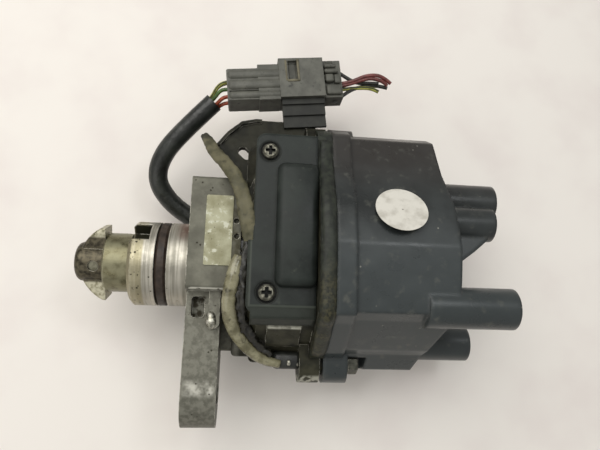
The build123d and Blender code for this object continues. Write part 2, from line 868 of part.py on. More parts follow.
with BuildPart() as igniter_module:
    with BuildSketch(across(igniter_start)) as igniter_face:
        with Locations((igniter_y, igniter_z)):
            Rectangle(igniter_width, igniter_height)
        fillet(igniter_face.vertices(), block_corner)
        with Locations(*igniter_screw_places):
            Circle(small_screw_diameter / 2 + small_screw_clearance, mode=Mode.SUBTRACT)
    extrude(amount=igniter_thickness)
finish(igniter_module, "igniter_module")

with BuildPart() as igniter_screws:
    with BuildSketch(across(igniter_start)):
        with Locations(*igniter_screw_places):
            Circle(small_screw_diameter / 2)
    extrude(amount=igniter_thickness)
    with BuildSketch(across(igniter_start + igniter_thickness)):
        with Locations(*igniter_screw_places):
            Circle(small_screw_head / 2)
    extrude(amount=small_screw_head_height)
finish(igniter_screws, "igniter_screws")

# ---------------------------------------------------------------- ignition coil
coil_middle_x = (coil_pocket_start + rim_start) / 2
coil_middle_y = (coil_pocket_low_y + coil_pocket_high_y) / 2
coil_length = rim_start - coil_pocket_start - 2 * pocket_clearance
coil_width = coil_pocket_high_y - coil_pocket_low_y - 2 * pocket_clearance
coil_core_top = cover_seat - coil_top_clearance
with BuildPart() as ignition_coil:
    with BuildSketch(Plane.XY.offset(coil_pocket_floor)) as coil_plan:
        with Locations((coil_middle_x, coil_middle_y)):
            Rectangle(coil_length, coil_width)
        fillet(coil_plan.vertices(), block_corner)
    extrude(amount=coil_core_top - coil_core_bar - coil_pocket_floor)
    with BuildSketch(Plane.XY.offset(coil_pocket_floor)):
        with Locations((coil_middle_x, coil_middle_y)):
            Rectangle(coil_core_width, coil_core_width)
    extrude(amount=coil_core_top - coil_pocket_floor, mode=Mode.SUBTRACT)
finish(ignition_coil, "ignition_coil")

with BuildPart() as coil_core:
    with BuildSketch(Plane.XY.offset(coil_pocket_floor)):
        with Locations((coil_middle_x, coil_middle_y)):
            Rectangle(coil_core_width, coil_core_width)
    extrude(amount=coil_core_top - coil_pocket_floor)
    with BuildSketch(Plane.XY.offset(coil_core_top - coil_core_bar)):
        with Locations((coil_middle_x, coil_middle_y)):
            Rectangle(coil_core_width, coil_width)
    extrude(amount=coil_core_bar)
finish(coil_core, "coil_core")

# ---------------------------------------------------------------- coil cover
with BuildPart() as coil_cover:
    # Lid with rounded upper edges, hollow underneath
    with BuildSketch(Plane.XY.offset(cover_seat)) as cover_plan:
        with Locations((cover_start, cover_low_y)):
            Rectangle(
                cover_end - cover_start,
                cover_high_y - cover_low_y,
                align=(Align.MIN, Align.MIN),
            )
        with Locations((cover_foot_start, cover_low_y)):
            Rectangle(
                cover_end - cover_foot_start,
                cover_split_y - cover_low_y,
                align=(Align.MIN, Align.MIN),
            )
        fillet(
            cover_plan.vertices().sort_by_distance((cover_foot_start, cover_low_y, cover_seat))[0],
            cover_corner,
        )
        fillet(
            cover_plan.vertices().sort_by_distance((cover_start, cover_high_y, cover_seat))[0],
            cover_corner,
        )
    extrude(amount=cover_height - cover_seat)
    # Raised hump over the coil
    with BuildSketch(Plane.XY.offset(cover_height)) as hump_plan:
        with Locations((hump_start, hump_low_y)):
            Rectangle(cover_end - hump_start, hump_high_y - hump_low_y, align=(Align.MIN, Align.MIN))
        fillet(hump_plan.vertices(), hump_corner)
    extrude(amount=hump_rise, taper=hump_slope)
    fillet(coil_cover.faces().sort_by(Axis.Z)[-1].edges(), hump_round)
    # Skirt over the sloping side
    with BuildSketch(across(cover_start)):
        with BuildLine():
            Polyline(
                (cover_low_y + 1.0, cover_height),
                (side_line(cover_seat) - strip_clearance, cover_seat),
                (side_line(cover_seat - cover_skirt_drop) - strip_clearance, cover_seat - cover_skirt_drop),
                (
                    side_line(cover_seat - cover_skirt_drop) - cover_skirt_thickness,
                    cover_seat - cover_skirt_drop + 1.0,
                ),
                (side_line(cover_seat) - cover_skirt_thickness, cover_height),
                close=True,
            )
        make_face()
    extrude(amount=cover_end - cover_start)
    # Recesses and holes for the screws
    with BuildSketch(Plane.XY.offset(cover_height)):
        with Locations(*cover_screw_places):
            Circle(cover_recess_diameter / 2)
    extrude(amount=-cover_recess_depth, mode=Mode.SUBTRACT)
    with BuildSketch(Plane.XY.offset(cover_seat)):
        with Locations(*cover_screw_places):
            Circle(cover_screw_diameter / 2 + bolt_hole_clearance)
    extrude(amount=cover_height - cover_seat, mode=Mode.SUBTRACT)
finish(coil_cover, "coil_cover")

cover_screw_top = cover_height - cover_recess_depth + cover_screw_head_height
with BuildPart() as cover_screws:
    with BuildSketch(Plane.XY.offset(cover_height - cover_recess_depth)):
        with Locations(*cover_screw_places):
            Circle(cover_screw_diameter / 2)
    extrude(amount=-cover_screw_length)
    with BuildSketch(Plane.XY.offset(cover_height - cover_recess_depth)):
        with Locations(*cover_screw_places):
            Circle(cover_screw_head / 2)
    extrude(amount=cover_screw_head_height)
    chamfer(cover_screws.faces().group_by(Axis.Z)[-1].edges(), cover_screw_chamfer)
    with BuildSketch(Plane.XY.offset(cover_screw_top)):
        with Locations(*cover_screw_places):
            Rectangle(cross_recess_length, cross_recess_width)
            Rectangle(cross_recess_width, cross_recess_length)
    extrude(amount=-cross_recess_depth, mode=Mode.SUBTRACT)
finish(cover_screws, "cover_screws")

# ---------------------------------------------------------------- seals between the castings
with BuildPart() as joint_seal:
    with BuildSketch(across(rim_face)):
        add(joint_outline.sketch)
        add(inset_outline(gasket_width), mode=Mode.SUBTRACT)
        with Locations(*bolt_places):
            Circle(bolt_flange_diameter / 2)
            Circle(bolt_diameter / 2 + bolt_hole_clearance, mode=Mode.SUBTRACT)
    extrude(amount=gasket_thickness)
    # Lip that stands over the housing's rim, stopped at the lugs and the wing
    with BuildSketch(across(rim_start)):
        add(inset_outline(-seal_height))
        add(inset_outline(rim_inset), mode=Mode.SUBTRACT)
        lug_profile(lug_radius, Mode.SUBTRACT)
        with Locations((coil_side, wing_low_z + wing_thickness / 2)):
            Rectangle(4 * seal_height, wing_thickness + 2 * seal_height, mode=Mode.SUBTRACT)
    extrude(amount=cap_start - rim_start)
finish(joint_seal, "joint_seal")

# ---------------------------------------------------------------- cap
terminal_start = rotor_face - terminal_back
with BuildPart() as cap_terminals:
    for y, z in tower_places:
        with BuildSketch(across(terminal_start)) as blade:
            with PolarLocations(0, 1, start_angle=degrees(atan2(z, y))):
                with Locations((terminal_reach, 0)):
                    Rectangle(
                        hypot(y, z) + terminal_width / 2 - terminal_reach,
                        terminal_width,
                        align=(Align.MIN, Align.CENTER),
                    )
        extrude(blade.sketch, amount=terminal_depth)
    with BuildSketch(across(terminal_start + terminal_depth)):
        with Locations(*tower_places):
            Circle(terminal_width / 2)
    extrude(amount=socket_floor - terminal_start - terminal_depth)
finish(cap_terminals, "cap_terminals")

with BuildPart() as distributor_cap:
    with BuildSketch(across(cap_start)):
        add(joint_outline.sketch)
    extrude(amount=cap_end - cap_start)
    # Domed end, sloping back on the low side and stepped back over the coil
    with BuildSketch(Plane.XY.offset(2 * base_height)):
        with BuildLine():
            Polyline(
                (cap_end - cap_slope_length * 1.5, low_side - cap_slope_width / 2),
                (cap_end - cap_dome, low_side + cap_slope_width),
            )
            ThreePointArc(
                (cap_end - cap_dome, low_side + cap_slope_width),
                (cap_end, (low_side + cap_slope_width + cap_corner_start) / 2),
                (cap_end - cap_dome, cap_corner_start),
            )
            Polyline(
                (cap_end - cap_dome, cap_corner_start),
                (cap_end - cap_corner_length, cap_corner_end),
                (cap_end - cap_corner_length - cap_dome, coil_side + 1.0),
                (cap_end + 1.0, coil_side + 1.0),
                (cap_end + 1.0, low_side - cap_slope_width / 2),
                (cap_end - cap_slope_length * 1.5, low_side - cap_slope_width / 2),
            )
        make_face()
    extrude(amount=-4 * base_height, mode=Mode.SUBTRACT)
    # Rim flange, and lugs for the bolts
    with BuildSketch(across(cap_start)):
        add(inset_outline(-cap_step))
    extrude(amount=cap_rim_length)
    with BuildSketch(across(cap_start)):
        lug_profile(lug_radius)
    extrude(amount=cap_lug_length)
    # Plug-lead towers and the breather
    with BuildSketch(across(chamber_end + cap_wall)):
        with Locations(*tower_places):
            Circle(tower_diameter / 2)
    extrude(amount=tower_end - chamber_end - cap_wall)
    with BuildSketch(across(chamber_end + cap_wall)):
        with Locations((breather_y, breather_z)):
            Circle(breather_diameter / 2)
    extrude(amount=breather_end - chamber_end - cap_wall)
    with BuildSketch(across(tower_end)):
        with Locations(*tower_places):
            Circle(socket_diameter / 2)
    extrude(amount=-socket_depth, mode=Mode.SUBTRACT)
    # Web that carries the breather
    with BuildSketch(Plane.XY.offset(breather_z - breather_diameter / 2 + 1.0)):
        with BuildLine():
            Polyline(*breather_web, close=True)
        make_face()
    extrude(amount=breather_web_height)
    with BuildSketch(across(breather_end)):
        with Locations((breather_y, breather_z)):
            Circle(breather_hole / 2)
    extrude(amount=-breather_hole_depth, mode=Mode.SUBTRACT)
    # Chamber for the rotor arm, with the brush's holder in its end
    with BuildSketch(across(cap_start)):
        Circle(cap_chamber_radius)
    extrude(amount=chamber_end - cap_start, mode=Mode.SUBTRACT)
    with BuildSketch(across(chamber_end)):
        Circle(brush_holder_diameter / 2)
    extrude(amount=-brush_holder_length)
    with BuildSketch(across(chamber_end - brush_holder_length)):
        Circle(brush_diameter / 2 + running_clearance)
    extrude(amount=brush_holder_length + brush_bore_depth, mode=Mode.SUBTRACT)
    with BuildSketch(across(cap_start)):
        with Locations(*bolt_places):
            Circle(bolt_diameter / 2 + bolt_hole_clearance)
    extrude(amount=cap_lug_length, mode=Mode.SUBTRACT)
    with BuildSketch(across(cap_lug_end)):
        with Locations(*bolt_places):
            Circle(bolt_flange_diameter / 2 + bolt_relief_clearance)
    extrude(amount=bolt_relief_length, mode=Mode.SUBTRACT)
    add(cap_terminals.part, mode=Mode.SUBTRACT)
finish(distributor_cap, "distributor_cap")

# ---------------------------------------------------------------- rotor arm, electrode and brush
with BuildPart() as rotor_arm:
    with BuildSketch(across(rotor_start)):
        Circle(rotor_hub_radius)
    extrude(amount=rotor_face - rotor_start)
    with BuildSketch(across(rotor_face - rotor_arm_thickness)):
        with PolarLocations(0, 1, start_angle=rotor_turn):
            with Locations((-rotor_hub_radius - rotor_tail, 0)):
                Rectangle(
                    electrode_reach - spark_gap + rotor_hub_radius + rotor_tail,
                    rotor_arm_width,
                    align=(Align.MIN, Align.CENTER),
                )
    extrude(amount=rotor_arm_thickness)
    fillet(rotor_arm.edges().filter_by(Axis.X), 1.5)
    with BuildSketch(across(rotor_start)):
        Circle(shaft_radius)
        with Locations((0, shaft_flat)):
            Rectangle(shaft_diameter, shaft_diameter, align=(Align.CENTER, Align.MIN), mode=Mode.SUBTRACT)
    extrude(amount=shaft_flat_length, mode=Mode.SUBTRACT)
finish(rotor_arm, "rotor_arm")

with BuildPart() as rotor_electrode:
    with BuildSketch(across(rotor_face)):
        Circle(electrode_hub_radius)
        with PolarLocations(0, 1, start_angle=rotor_turn):
            Rectangle(electrode_reach, electrode_width, align=(Align.MIN, Align.CENTER))
    extrude(amount=electrode_thickness)
finish(rotor_electrode, "rotor_electrode")

with BuildPart() as carbon_brush:
    with BuildSketch(across(brush_start)):
        Circle(brush_diameter / 2)
    extrude(amount=brush_length)
    chamfer(carbon_brush.edges().group_by(Axis.X)[0], brush_chamfer)
finish(carbon_brush, "carbon_brush")

spring_start = brush_start + brush_length
spring_length = chamber_end + brush_bore_depth - spring_start
spring_radius = brush_diameter / 2 - brush_spring_wire
with BuildPart() as brush_spring:
    with BuildLine() as spring_line:
        Helix(
            pitch=(spring_length - brush_spring_wire) / spring_turns,
            height=spring_length - brush_spring_wire,
            radius=spring_radius,
            center=(spring_start + brush_spring_wire / 2, 0, 0),
            direction=(1, 0, 0),
        )
    with BuildSketch(Plane(origin=spring_line.line @ 0, z_dir=spring_line.line % 0)):
        Rectangle(brush_spring_wire, brush_spring_wire)
    sweep(path=spring_line.line, is_frenet=True)
finish(brush_spring, "brush_spring")

# ---------------------------------------------------------------- cap bolts
with BuildPart() as cap_bolts:
    with BuildSketch(across(rim_face - lug_length + bolt_end_gap)):
        with Locations(*bolt_places):
            Circle(bolt_diameter / 2)
    extrude(amount=lug_length - bolt_end_gap + gasket_thickness + cap_lug_length)
    with BuildSketch(across(cap_lug_end)):
        with Locations(*bolt_places):
            Circle(bolt_flange_diameter / 2)
    extrude(amount=bolt_flange_thickness)
    with BuildSketch(across(cap_lug_end + bolt_flange_thickness)):
        with Locations(*bolt_places):
            RegularPolygon(bolt_head_width / 2, 6, major_radius=False)
    extrude(amount=bolt_head_height)
    chamfer(cap_bolts.faces().group_by(Axis.X)[-1].edges(), bolt_end_gap)
finish(cap_bolts, "cap_bolts")

# ---------------------------------------------------------------- plate and sticker
with BuildPart() as data_plate:
    with BuildSketch(Plane.XY.offset(block_top)) as plate_plan:
        with Locations((plate_start, plate_low_y)):
            Rectangle(plate_width, plate_high_y - plate_low_y, align=(Align.MIN, Align.MIN))
        fillet(plate_plan.vertices(), plate_corner)
    extrude(amount=plate_thickness)
finish(data_plate, "data_plate")

crown_plane = Plane(origin=(sticker_x, sticker_y, crown_at(sticker_y)), z_dir=crown_normal)
with BuildPart() as round_sticker:
    with BuildSketch(crown_plane):
        Circle(sticker_diameter / 2)
    extrude(amount=sticker_thickness)
finish(round_sticker, "round_sticker")

# ---------------------------------------------------------------- connector on the wing
def connector_plane(height):
    """The connector's plane at a height: u along it from the lead's end, v across it."""
    return Plane(
        origin=(connector_x, connector_y, height),
        x_dir=(cos(radians(connector_tilt)), sin(radians(connector_tilt)), 0),
        z_dir=(0, 0, 1),
    )


connector_low_z = connector_middle - connector_height / 2
hood_low_z = connector_middle - hood_height / 2
hood_start = connector_length
window_low_v = hood_low_v + hood_width - window_length - window_edge
hood_end = connector_length + hood_length
socket_start = hood_end - plug_depth - 2.0
with BuildPart() as lead_connector:
    # Ribbed body: flat-topped ribs with grooves between
    with BuildSketch(connector_plane(connector_low_z)) as connector_body:
        Rectangle(connector_length, connector_width, align=(Align.MIN, Align.MIN))
        fillet(connector_body.vertices().group_by(Axis.X)[0], connector_round)
    extrude(amount=connector_height)
    with BuildSketch(connector_plane(connector_low_z + connector_height - groove_depth)):
        for edge in groove_places:
            with Locations((connector_length / 2, edge)):
                Rectangle(connector_length - 2 * connector_round, groove_width)
    extrude(amount=groove_depth, mode=Mode.SUBTRACT)
    # Step towards the hood
    with BuildSketch(connector_plane(hood_low_z + connector_round)):
        with Locations((connector_step_start, -connector_round / 2)):
            Rectangle(
                connector_length - connector_step_start,
                connector_width + connector_step,
                align=(Align.MIN, Align.MIN),
            )
    extrude(amount=hood_height - 2 * connector_round)
    # Hood, open at its end, with a window for the plug's latch
    with BuildSketch(connector_plane(hood_low_z)) as hood_plan:
        with Locations((hood_start, hood_low_v)):
            Rectangle(hood_length, hood_width, align=(Align.MIN, Align.MIN))
    extrude(amount=hood_height)
    with BuildSketch(connector_plane(hood_low_z + hood_wall)):
        with Locations((socket_start, hood_low_v + hood_wall)):
            Rectangle(hood_end - socket_start, hood_width - 2 * hood_wall, align=(Align.MIN, Align.MIN))
    extrude(amount=hood_height - 2 * hood_wall, mode=Mode.SUBTRACT)
    with BuildSketch(connector_plane(hood_low_z + hood_height - hood_wall)) as window_plan:
        with Locations((hood_start + window_start, window_low_v)):
            Rectangle(window_width, window_length, align=(Align.MIN, Align.MIN))
    extrude(amount=hood_wall, mode=Mode.SUBTRACT)
finish(lead_connector, "lead_connector")

plug_low_v = hood_low_v + hood_wall + plug_clearance
plug_width = hood_width - 2 * (hood_wall + plug_clearance)
plug_low_z = hood_low_z + hood_wall + plug_clearance
plug_height = hood_height - 2 * (hood_wall + plug_clearance)
plug_start = hood_end - plug_depth
pin_v = [hood_low_v + hood_width / 2 + pin_pitch * (n - 1.5) for n in range(4)]
pin_z = [hood_low_z + hood_height / 2 - pin_pitch / 2, hood_low_z + hood_height / 2 + pin_pitch / 2]
pin_places = [(v, z) for v in pin_v for z in pin_z]


def along_connector(u):
    """The plane across the connector at u, with v to the right and w up."""
    corner = connector_plane(0).from_local_coords(Vector(u, 0, 0))
    return Plane(origin=corner, x_dir=connector_plane(0).y_dir, z_dir=connector_plane(0).x_dir)


with BuildPart() as connector_pins:
    with BuildSketch(along_connector(socket_start)):
        with Locations(*pin_places):
            Circle(pin_diameter / 2)
    extrude(amount=pin_length)
finish(connector_pins, "connector_pins")

with BuildPart() as harness_plug:
    with BuildSketch(connector_plane(plug_low_z)) as plug_plan:
        with Locations((plug_start, plug_low_v)):
            Rectangle(plug_depth, plug_width, align=(Align.MIN, Align.MIN))
    extrude(amount=plug_height)
    with BuildSketch(connector_plane(plug_low_z + plug_shell_margin)):
        with Locations((hood_end + plug_shell_gap, plug_low_v + (plug_width - plug_rear_width) / 2)):
            Rectangle(plug_rear_length, plug_rear_width, align=(Align.MIN, Align.MIN))
    extrude(amount=plug_height - 2 * plug_shell_margin)
    with BuildSketch(connector_plane(plug_low_z + plug_shell_margin)):
        with Locations((hood_end, plug_low_v)):
            Rectangle(plug_shell_gap, plug_width, align=(Align.MIN, Align.MIN))
    extrude(amount=plug_height - 2 * plug_shell_margin)
    # Latch tongue under the hood's window
    with BuildSketch(connector_plane(plug_low_z + plug_height)):
        with Locations((hood_start + window_start + tongue_clearance, window_low_v + tongue_clearance)):
            Rectangle(
                window_width - 2 * tongue_clearance,
                window_length - 2 * tongue_clearance,
                align=(Align.MIN, Align.MIN),
            )
    extrude(amount=latch_height)
    # Sockets for the pins
    with BuildSketch(along_connector(plug_start)):
        with Locations(*pin_places):
            Circle(pin_diameter / 2 + plug_clearance)
    extrude(amount=pin_length, mode=Mode.SUBTRACT)
finish(harness_plug, "harness_plug")

plug_rear = hood_end + plug_shell_gap + plug_rear_length
with BuildPart() as harness_wires:
    for v, w, length in harness_wire_places:
        with BuildSketch(along_connector(plug_rear)) as wire_section:
            with Locations((v, w)):
                Circle(wire_diameter / 2)
        extrude(wire_section.sketch, amount=length)
finish(harness_wires, "harness_wires")

clip_low_z = wing_low_z + wing_thickness
with BuildPart() as connector_clip:
    # Foot on the wing, stepped up towards the hood
    with BuildSketch(connector_plane(clip_low_z)):
        with Locations((hood_start + clip_margin, hood_low_v)):
            Rectangle(hood_length - 2 * clip_margin, clip_reach, align=(Align.MIN, Align.MAX))
    extrude(amount=clip_thickness)
    with BuildSketch(connector_plane(clip_low_z + clip_thickness)):
        with Locations((hood_start + clip_margin, hood_low_v)):
            Rectangle(hood_length - 2 * clip_margin, clip_reach - clip_step, align=(Align.MIN, Align.MAX))
    extrude(amount=clip_rib)
    with BuildSketch(connector_plane(clip_low_z + clip_thickness + clip_rib)):
        with Locations((hood_start + clip_margin, hood_low_v)):
            Rectangle(hood_length - 2 * clip_margin, clip_rib_width, align=(Align.MIN, Align.MAX))
    extrude(amount=clip_rib)
finish(connector_clip, "connector_clip")

# ---------------------------------------------------------------- lead
with BuildPart() as lead_sleeve:
    tube(lead_route, sleeve_diameter)
finish(lead_sleeve, "lead_sleeve")
print("sleeve radii", [round(r, 1) for r in tube_radii(lead_route)])

with BuildPart() as lead_wires:
    # Straight wires between the sleeve's open end and the connector, cut where they enter each
    for index, (v, height) in enumerate(lead_wire_ends):
        turn = radians(lead_wire_turn + index * 360 / len(lead_wire_ends))
        mouth = lead_start_plane.from_local_coords(
            (sleeve_wire_circle / 2 * cos(turn), sleeve_wire_circle / 2 * sin(turn), -wire_diameter)
        )
        run = along_connector(0).from_local_coords((v, height, wire_diameter)) - mouth
        with BuildSketch(Plane(origin=mouth, z_dir=run)) as wire:
            Circle(wire_diameter / 2)
        extrude(wire.sketch, amount=run.length)
    add(lead_sleeve.part, mode=Mode.SUBTRACT)
    add(lead_connector.part, mode=Mode.SUBTRACT)
finish(lead_wires, "lead_wires")

with BuildPart() as lead_grommet:
    with BuildSketch(lead_end_plane):
        Circle(grommet_diameter / 2)
    extrude(amount=grommet_length)
finish(lead_grommet, "lead_grommet")

# ---------------------------------------------------------------- sealing strips on the cover's edges
with BuildPart() as seal_strip_upper:
    tube(upper_strip_route, upper_strip_diameter)
finish(seal_strip_upper, "seal_strip_upper")

with BuildPart() as seal_strip_lower:
    tube(lower_strip_route, lower_strip_diameter)
finish(seal_strip_lower, "seal_strip_lower")
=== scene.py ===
"""Looks of the ignition distributor.

Gives its solids their finishes, adds the sleeve, the wires, the sealing strips and the small
fittings, and sets the camera, the floor and the lamps.
"""
import json
from math import radians, tau

import bmesh
import bpy
from mathutils import Matrix, Vector, noise


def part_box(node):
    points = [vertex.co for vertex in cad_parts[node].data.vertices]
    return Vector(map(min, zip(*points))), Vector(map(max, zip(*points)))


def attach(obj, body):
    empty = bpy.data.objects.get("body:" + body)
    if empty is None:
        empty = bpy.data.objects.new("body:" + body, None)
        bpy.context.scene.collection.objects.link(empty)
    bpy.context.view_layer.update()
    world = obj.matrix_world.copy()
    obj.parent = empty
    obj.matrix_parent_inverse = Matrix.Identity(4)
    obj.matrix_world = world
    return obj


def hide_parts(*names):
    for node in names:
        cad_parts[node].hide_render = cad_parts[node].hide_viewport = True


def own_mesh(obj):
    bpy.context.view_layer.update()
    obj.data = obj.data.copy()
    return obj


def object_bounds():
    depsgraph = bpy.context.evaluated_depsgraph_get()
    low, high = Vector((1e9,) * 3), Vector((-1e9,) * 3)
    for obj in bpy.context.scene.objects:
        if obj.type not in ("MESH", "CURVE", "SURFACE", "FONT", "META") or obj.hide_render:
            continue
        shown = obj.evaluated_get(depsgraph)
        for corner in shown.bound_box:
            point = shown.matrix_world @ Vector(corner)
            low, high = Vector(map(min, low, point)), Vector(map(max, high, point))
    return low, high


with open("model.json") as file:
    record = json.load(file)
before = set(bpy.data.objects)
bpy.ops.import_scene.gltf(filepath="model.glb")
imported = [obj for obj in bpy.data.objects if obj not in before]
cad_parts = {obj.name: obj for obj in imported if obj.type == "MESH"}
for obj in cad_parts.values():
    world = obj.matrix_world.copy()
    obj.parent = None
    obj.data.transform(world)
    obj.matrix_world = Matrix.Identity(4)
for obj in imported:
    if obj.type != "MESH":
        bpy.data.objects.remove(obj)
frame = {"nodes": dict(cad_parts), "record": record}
cad_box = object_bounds()
slots = {row["node"]: row["material_slot"] for row in frame["record"]["subparts"]}
MM = 0.001


# ---------------------------------------------------------------- material helpers
EDGE_SAMPLES = 6
EDGE_SPREAD = (0.02, 0.16)  # how far an edge turns where its wear starts and where it is full
CLOUD_ROUGHNESS = 0.55
SHARE, FIRST, SECOND, MIXED = 0, 6, 7, 2  # sockets of a Mix node that mixes colours


def srgb(red, green, blue):
    """A colour given in screen values from 0 to 255, as linear values."""
    def linear(value):
        share = value / 255
        return share / 12.92 if share <= 0.04045 else ((share + 0.055) / 1.055) ** 2.4
    return (linear(red), linear(green), linear(blue), 1.0)


def shade(colour, factor, lift=0.0):
    """A colour made darker or paler by a factor."""
    return tuple(min(1.0, factor * part + lift) for part in colour[:3]) + (1.0,)


class Finish:
    """A node material under construction, with one shader and object coordinates in millimetres."""

    def __init__(self, name, roughness=0.5, metallic=0.0, specular=0.5):
        self.material = bpy.data.materials.new(name)
        self.material.use_nodes = True
        self.nodes = self.material.node_tree.nodes
        self.links = self.material.node_tree.links
        self.shader = self.nodes["Principled BSDF"]
        self.shader.inputs["Roughness"].default_value = roughness
        self.shader.inputs["Metallic"].default_value = metallic
        self.shader.inputs["Specular IOR Level"].default_value = specular
        coordinates = self.nodes.new("ShaderNodeTexCoord")
        scale = self.nodes.new("ShaderNodeVectorMath")
        scale.operation = "SCALE"
        scale.inputs["Scale"].default_value = 1 / MM
        self.links.new(coordinates.outputs["Object"], scale.inputs[0])
        self.place = scale.outputs["Vector"]

    def axis(self, letter):
        """One coordinate of the place, in millimetres."""
        split = self.nodes.new("ShaderNodeSeparateXYZ")
        self.links.new(self.place, split.inputs[0])
        return split.outputs[letter]

    def stretched(self, x, y, z):
        """The place scaled by a factor along each axis."""
        mapping = self.nodes.new("ShaderNodeMapping")
        mapping.inputs["Scale"].default_value = (x, y, z)
        self.links.new(self.place, mapping.inputs["Vector"])
        return mapping.outputs["Vector"]

    def noise(self, size, detail, place=None):
        """Cloudy noise whose features are about size millimetres."""
        texture = self.nodes.new("ShaderNodeTexNoise")
        texture.inputs["Scale"].default_value = 1 / size
        texture.inputs["Detail"].default_value = detail
        texture.inputs["Roughness"].default_value = CLOUD_ROUGHNESS
        self.links.new(place or self.place, texture.inputs["Vector"])
        return texture.outputs["Fac"]

    def cells(self, size):
        """Distance to scattered points about size millimetres apart."""
        texture = self.nodes.new("ShaderNodeTexVoronoi")
        texture.inputs["Scale"].default_value = 1 / size
        self.links.new(self.place, texture.inputs["Vector"])
        return texture.outputs["Distance"]

    def step(self, value, low=0.3, high=0.7, start=0.0, end=1.0):
        """Value from low to high, spread smoothly over start to end."""
        spread = self.nodes.new("ShaderNodeMapRange")
        spread.interpolation_type = "SMOOTHSTEP"
        for name, number in (("From Min", low), ("From Max", high), ("To Min", start), ("To Max", end)):
            spread.inputs[name].default_value = number
        self.links.new(value, spread.inputs["Value"])
        return spread.outputs["Result"]

    def clouds(self, size, detail, *spread):
        """Noise spread as step does: clouds with soft borders when low and high lie close."""
        return self.step(self.noise(size, detail), *spread)

    def maths(self, operation, first, second=0.0):
        """One arithmetic step on two values or sockets."""
        node = self.nodes.new("ShaderNodeMath")
        node.operation = operation
        for socket, value in zip(node.inputs, (first, second)):
            if isinstance(value, (int, float)):
                socket.default_value = value
            else:
                self.links.new(value, socket)
        return node.outputs[0]

    def both(self, first, second):
        """Two shares multiplied: full only where both are."""
        return self.maths("MULTIPLY", first, second)

    def either(self, first, second):
        """The larger of two shares."""
        return self.maths("MAXIMUM", first, second)

    def rest(self, share):
        """What a share leaves of 1."""
        return self.maths("SUBTRACT", 1.0, share)

    def away_from(self, **line):
        """Distance from a straight line, given by its place on the two axes square to it."""
        squares = []
        for letter, place in line.items():
            offset = self.maths("SUBTRACT", self.axis(letter.upper()), place)
            squares.append(self.both(offset, offset))
        return self.maths("SQRT", self.maths("ADD", *squares))

    def patch(self, fade=0.6, **ranges):
        """1 where each named coordinate is inside its range in millimetres, fading at the border."""
        share = 1.0
        for letter, (low, high) in ranges.items():
            place = self.axis(letter.upper())
            inside = self.both(self.step(place, low - fade, low + fade),
                               self.step(place, high + fade, high - fade))
            share = self.both(share, inside)
        return share

    def rounded_normal(self, radius):
        """The surface's direction, as if its edges were rounded by radius millimetres."""
        rounded = self.nodes.new("ShaderNodeBevel")
        rounded.samples = EDGE_SAMPLES
        rounded.inputs["Radius"].default_value = radius * MM
        return rounded.outputs["Normal"]

    def edges(self, width):
        """1 along edges within width millimetres, 0 on open faces."""
        facing = self.nodes.new("ShaderNodeNewGeometry")
        dot = self.nodes.new("ShaderNodeVectorMath")
        dot.operation = "DOT_PRODUCT"
        self.links.new(self.rounded_normal(width), dot.inputs[0])
        self.links.new(facing.outputs["Normal"], dot.inputs[1])
        return self.step(self.rest(dot.outputs["Value"]), *EDGE_SPREAD)

    def mix(self, share, first, second):
        """Colour between first and second by share."""
        node = self.nodes.new("ShaderNodeMix")
        node.data_type = "RGBA"
        for index, value in ((SHARE, share), (FIRST, first), (SECOND, second)):
            if isinstance(value, (int, float, tuple)):
                node.inputs[index].default_value = value
            else:
                self.links.new(value, node.inputs[index])
        return node.outputs[MIXED]

    def colour(self, value):
        """Sets the base colour."""
        self.links.new(value, self.shader.inputs["Base Color"])

    def rough(self, value):
        """Sets the roughness from a pattern."""
        self.links.new(value, self.shader.inputs["Roughness"])

    def metal(self, value):
        """Sets how metallic the surface is from a pattern."""
        self.links.new(value, self.shader.inputs["Metallic"])

    def bump(self, height, depth, corner=0.0):
        """Raises the surface by a pattern, depth millimetres high, over edges rounded by corner."""
        node = self.nodes.new("ShaderNodeBump")
        node.inputs["Strength"].default_value = 1.0
        node.inputs["Distance"].default_value = depth * MM
        self.links.new(height, node.inputs["Height"])
        if corner:
            self.links.new(self.rounded_normal(corner), node.inputs["Normal"])
        self.links.new(node.outputs["Normal"], self.shader.inputs["Normal"])


# ---------------------------------------------------------------- the casting's finish
# Where one finish of the casting gives way to the next, in millimetres
SPIGOT_TO_BLOCK_X = (-0.4, -0.1)
BLOCK_TO_EAR_Y = (-12.0, -13.5)
BLOCK_TO_OIL_X = (13.0, 22.0)
BLOCK_TO_BOWL_X = (22.5, 24.5)
BOWL_TO_WING_Y = (37.0, 39.0)
# The ranges that each patch covers, in millimetres
SPIGOT_TIP = {"x": (-30.0, -19.5)}
FRONT_LAND = {"x": (-24.0, -20.5)}
RUST = {"x": (-5.0, 2.0), "y": (9.0, 22.0)}
NOTCH = {"x": (-25.8, -10.0), "y": (6.0, 30.0)}
NOTCH_RADIUS = (18.7, 18.2)
BLOCK_EDGE = {"x": (0.4, 17.5), "y": (-13.2, -12.5)}
EAR_POCKET = {"x": (2.0, 8.4), "y": (-24.8, -15.6)}
RUBBED_EAR = {"x": (1.5, 14.0), "y": (-57.0, -51.5), "z": (13.0, 22.0)}
PAD_EDGE = {"x": (35.4, 50.0), "y": (-29.0, -26.0)}
LUG_TIP = {"x": (48.0, 62.0), "y": (-54.0, -49.0)}


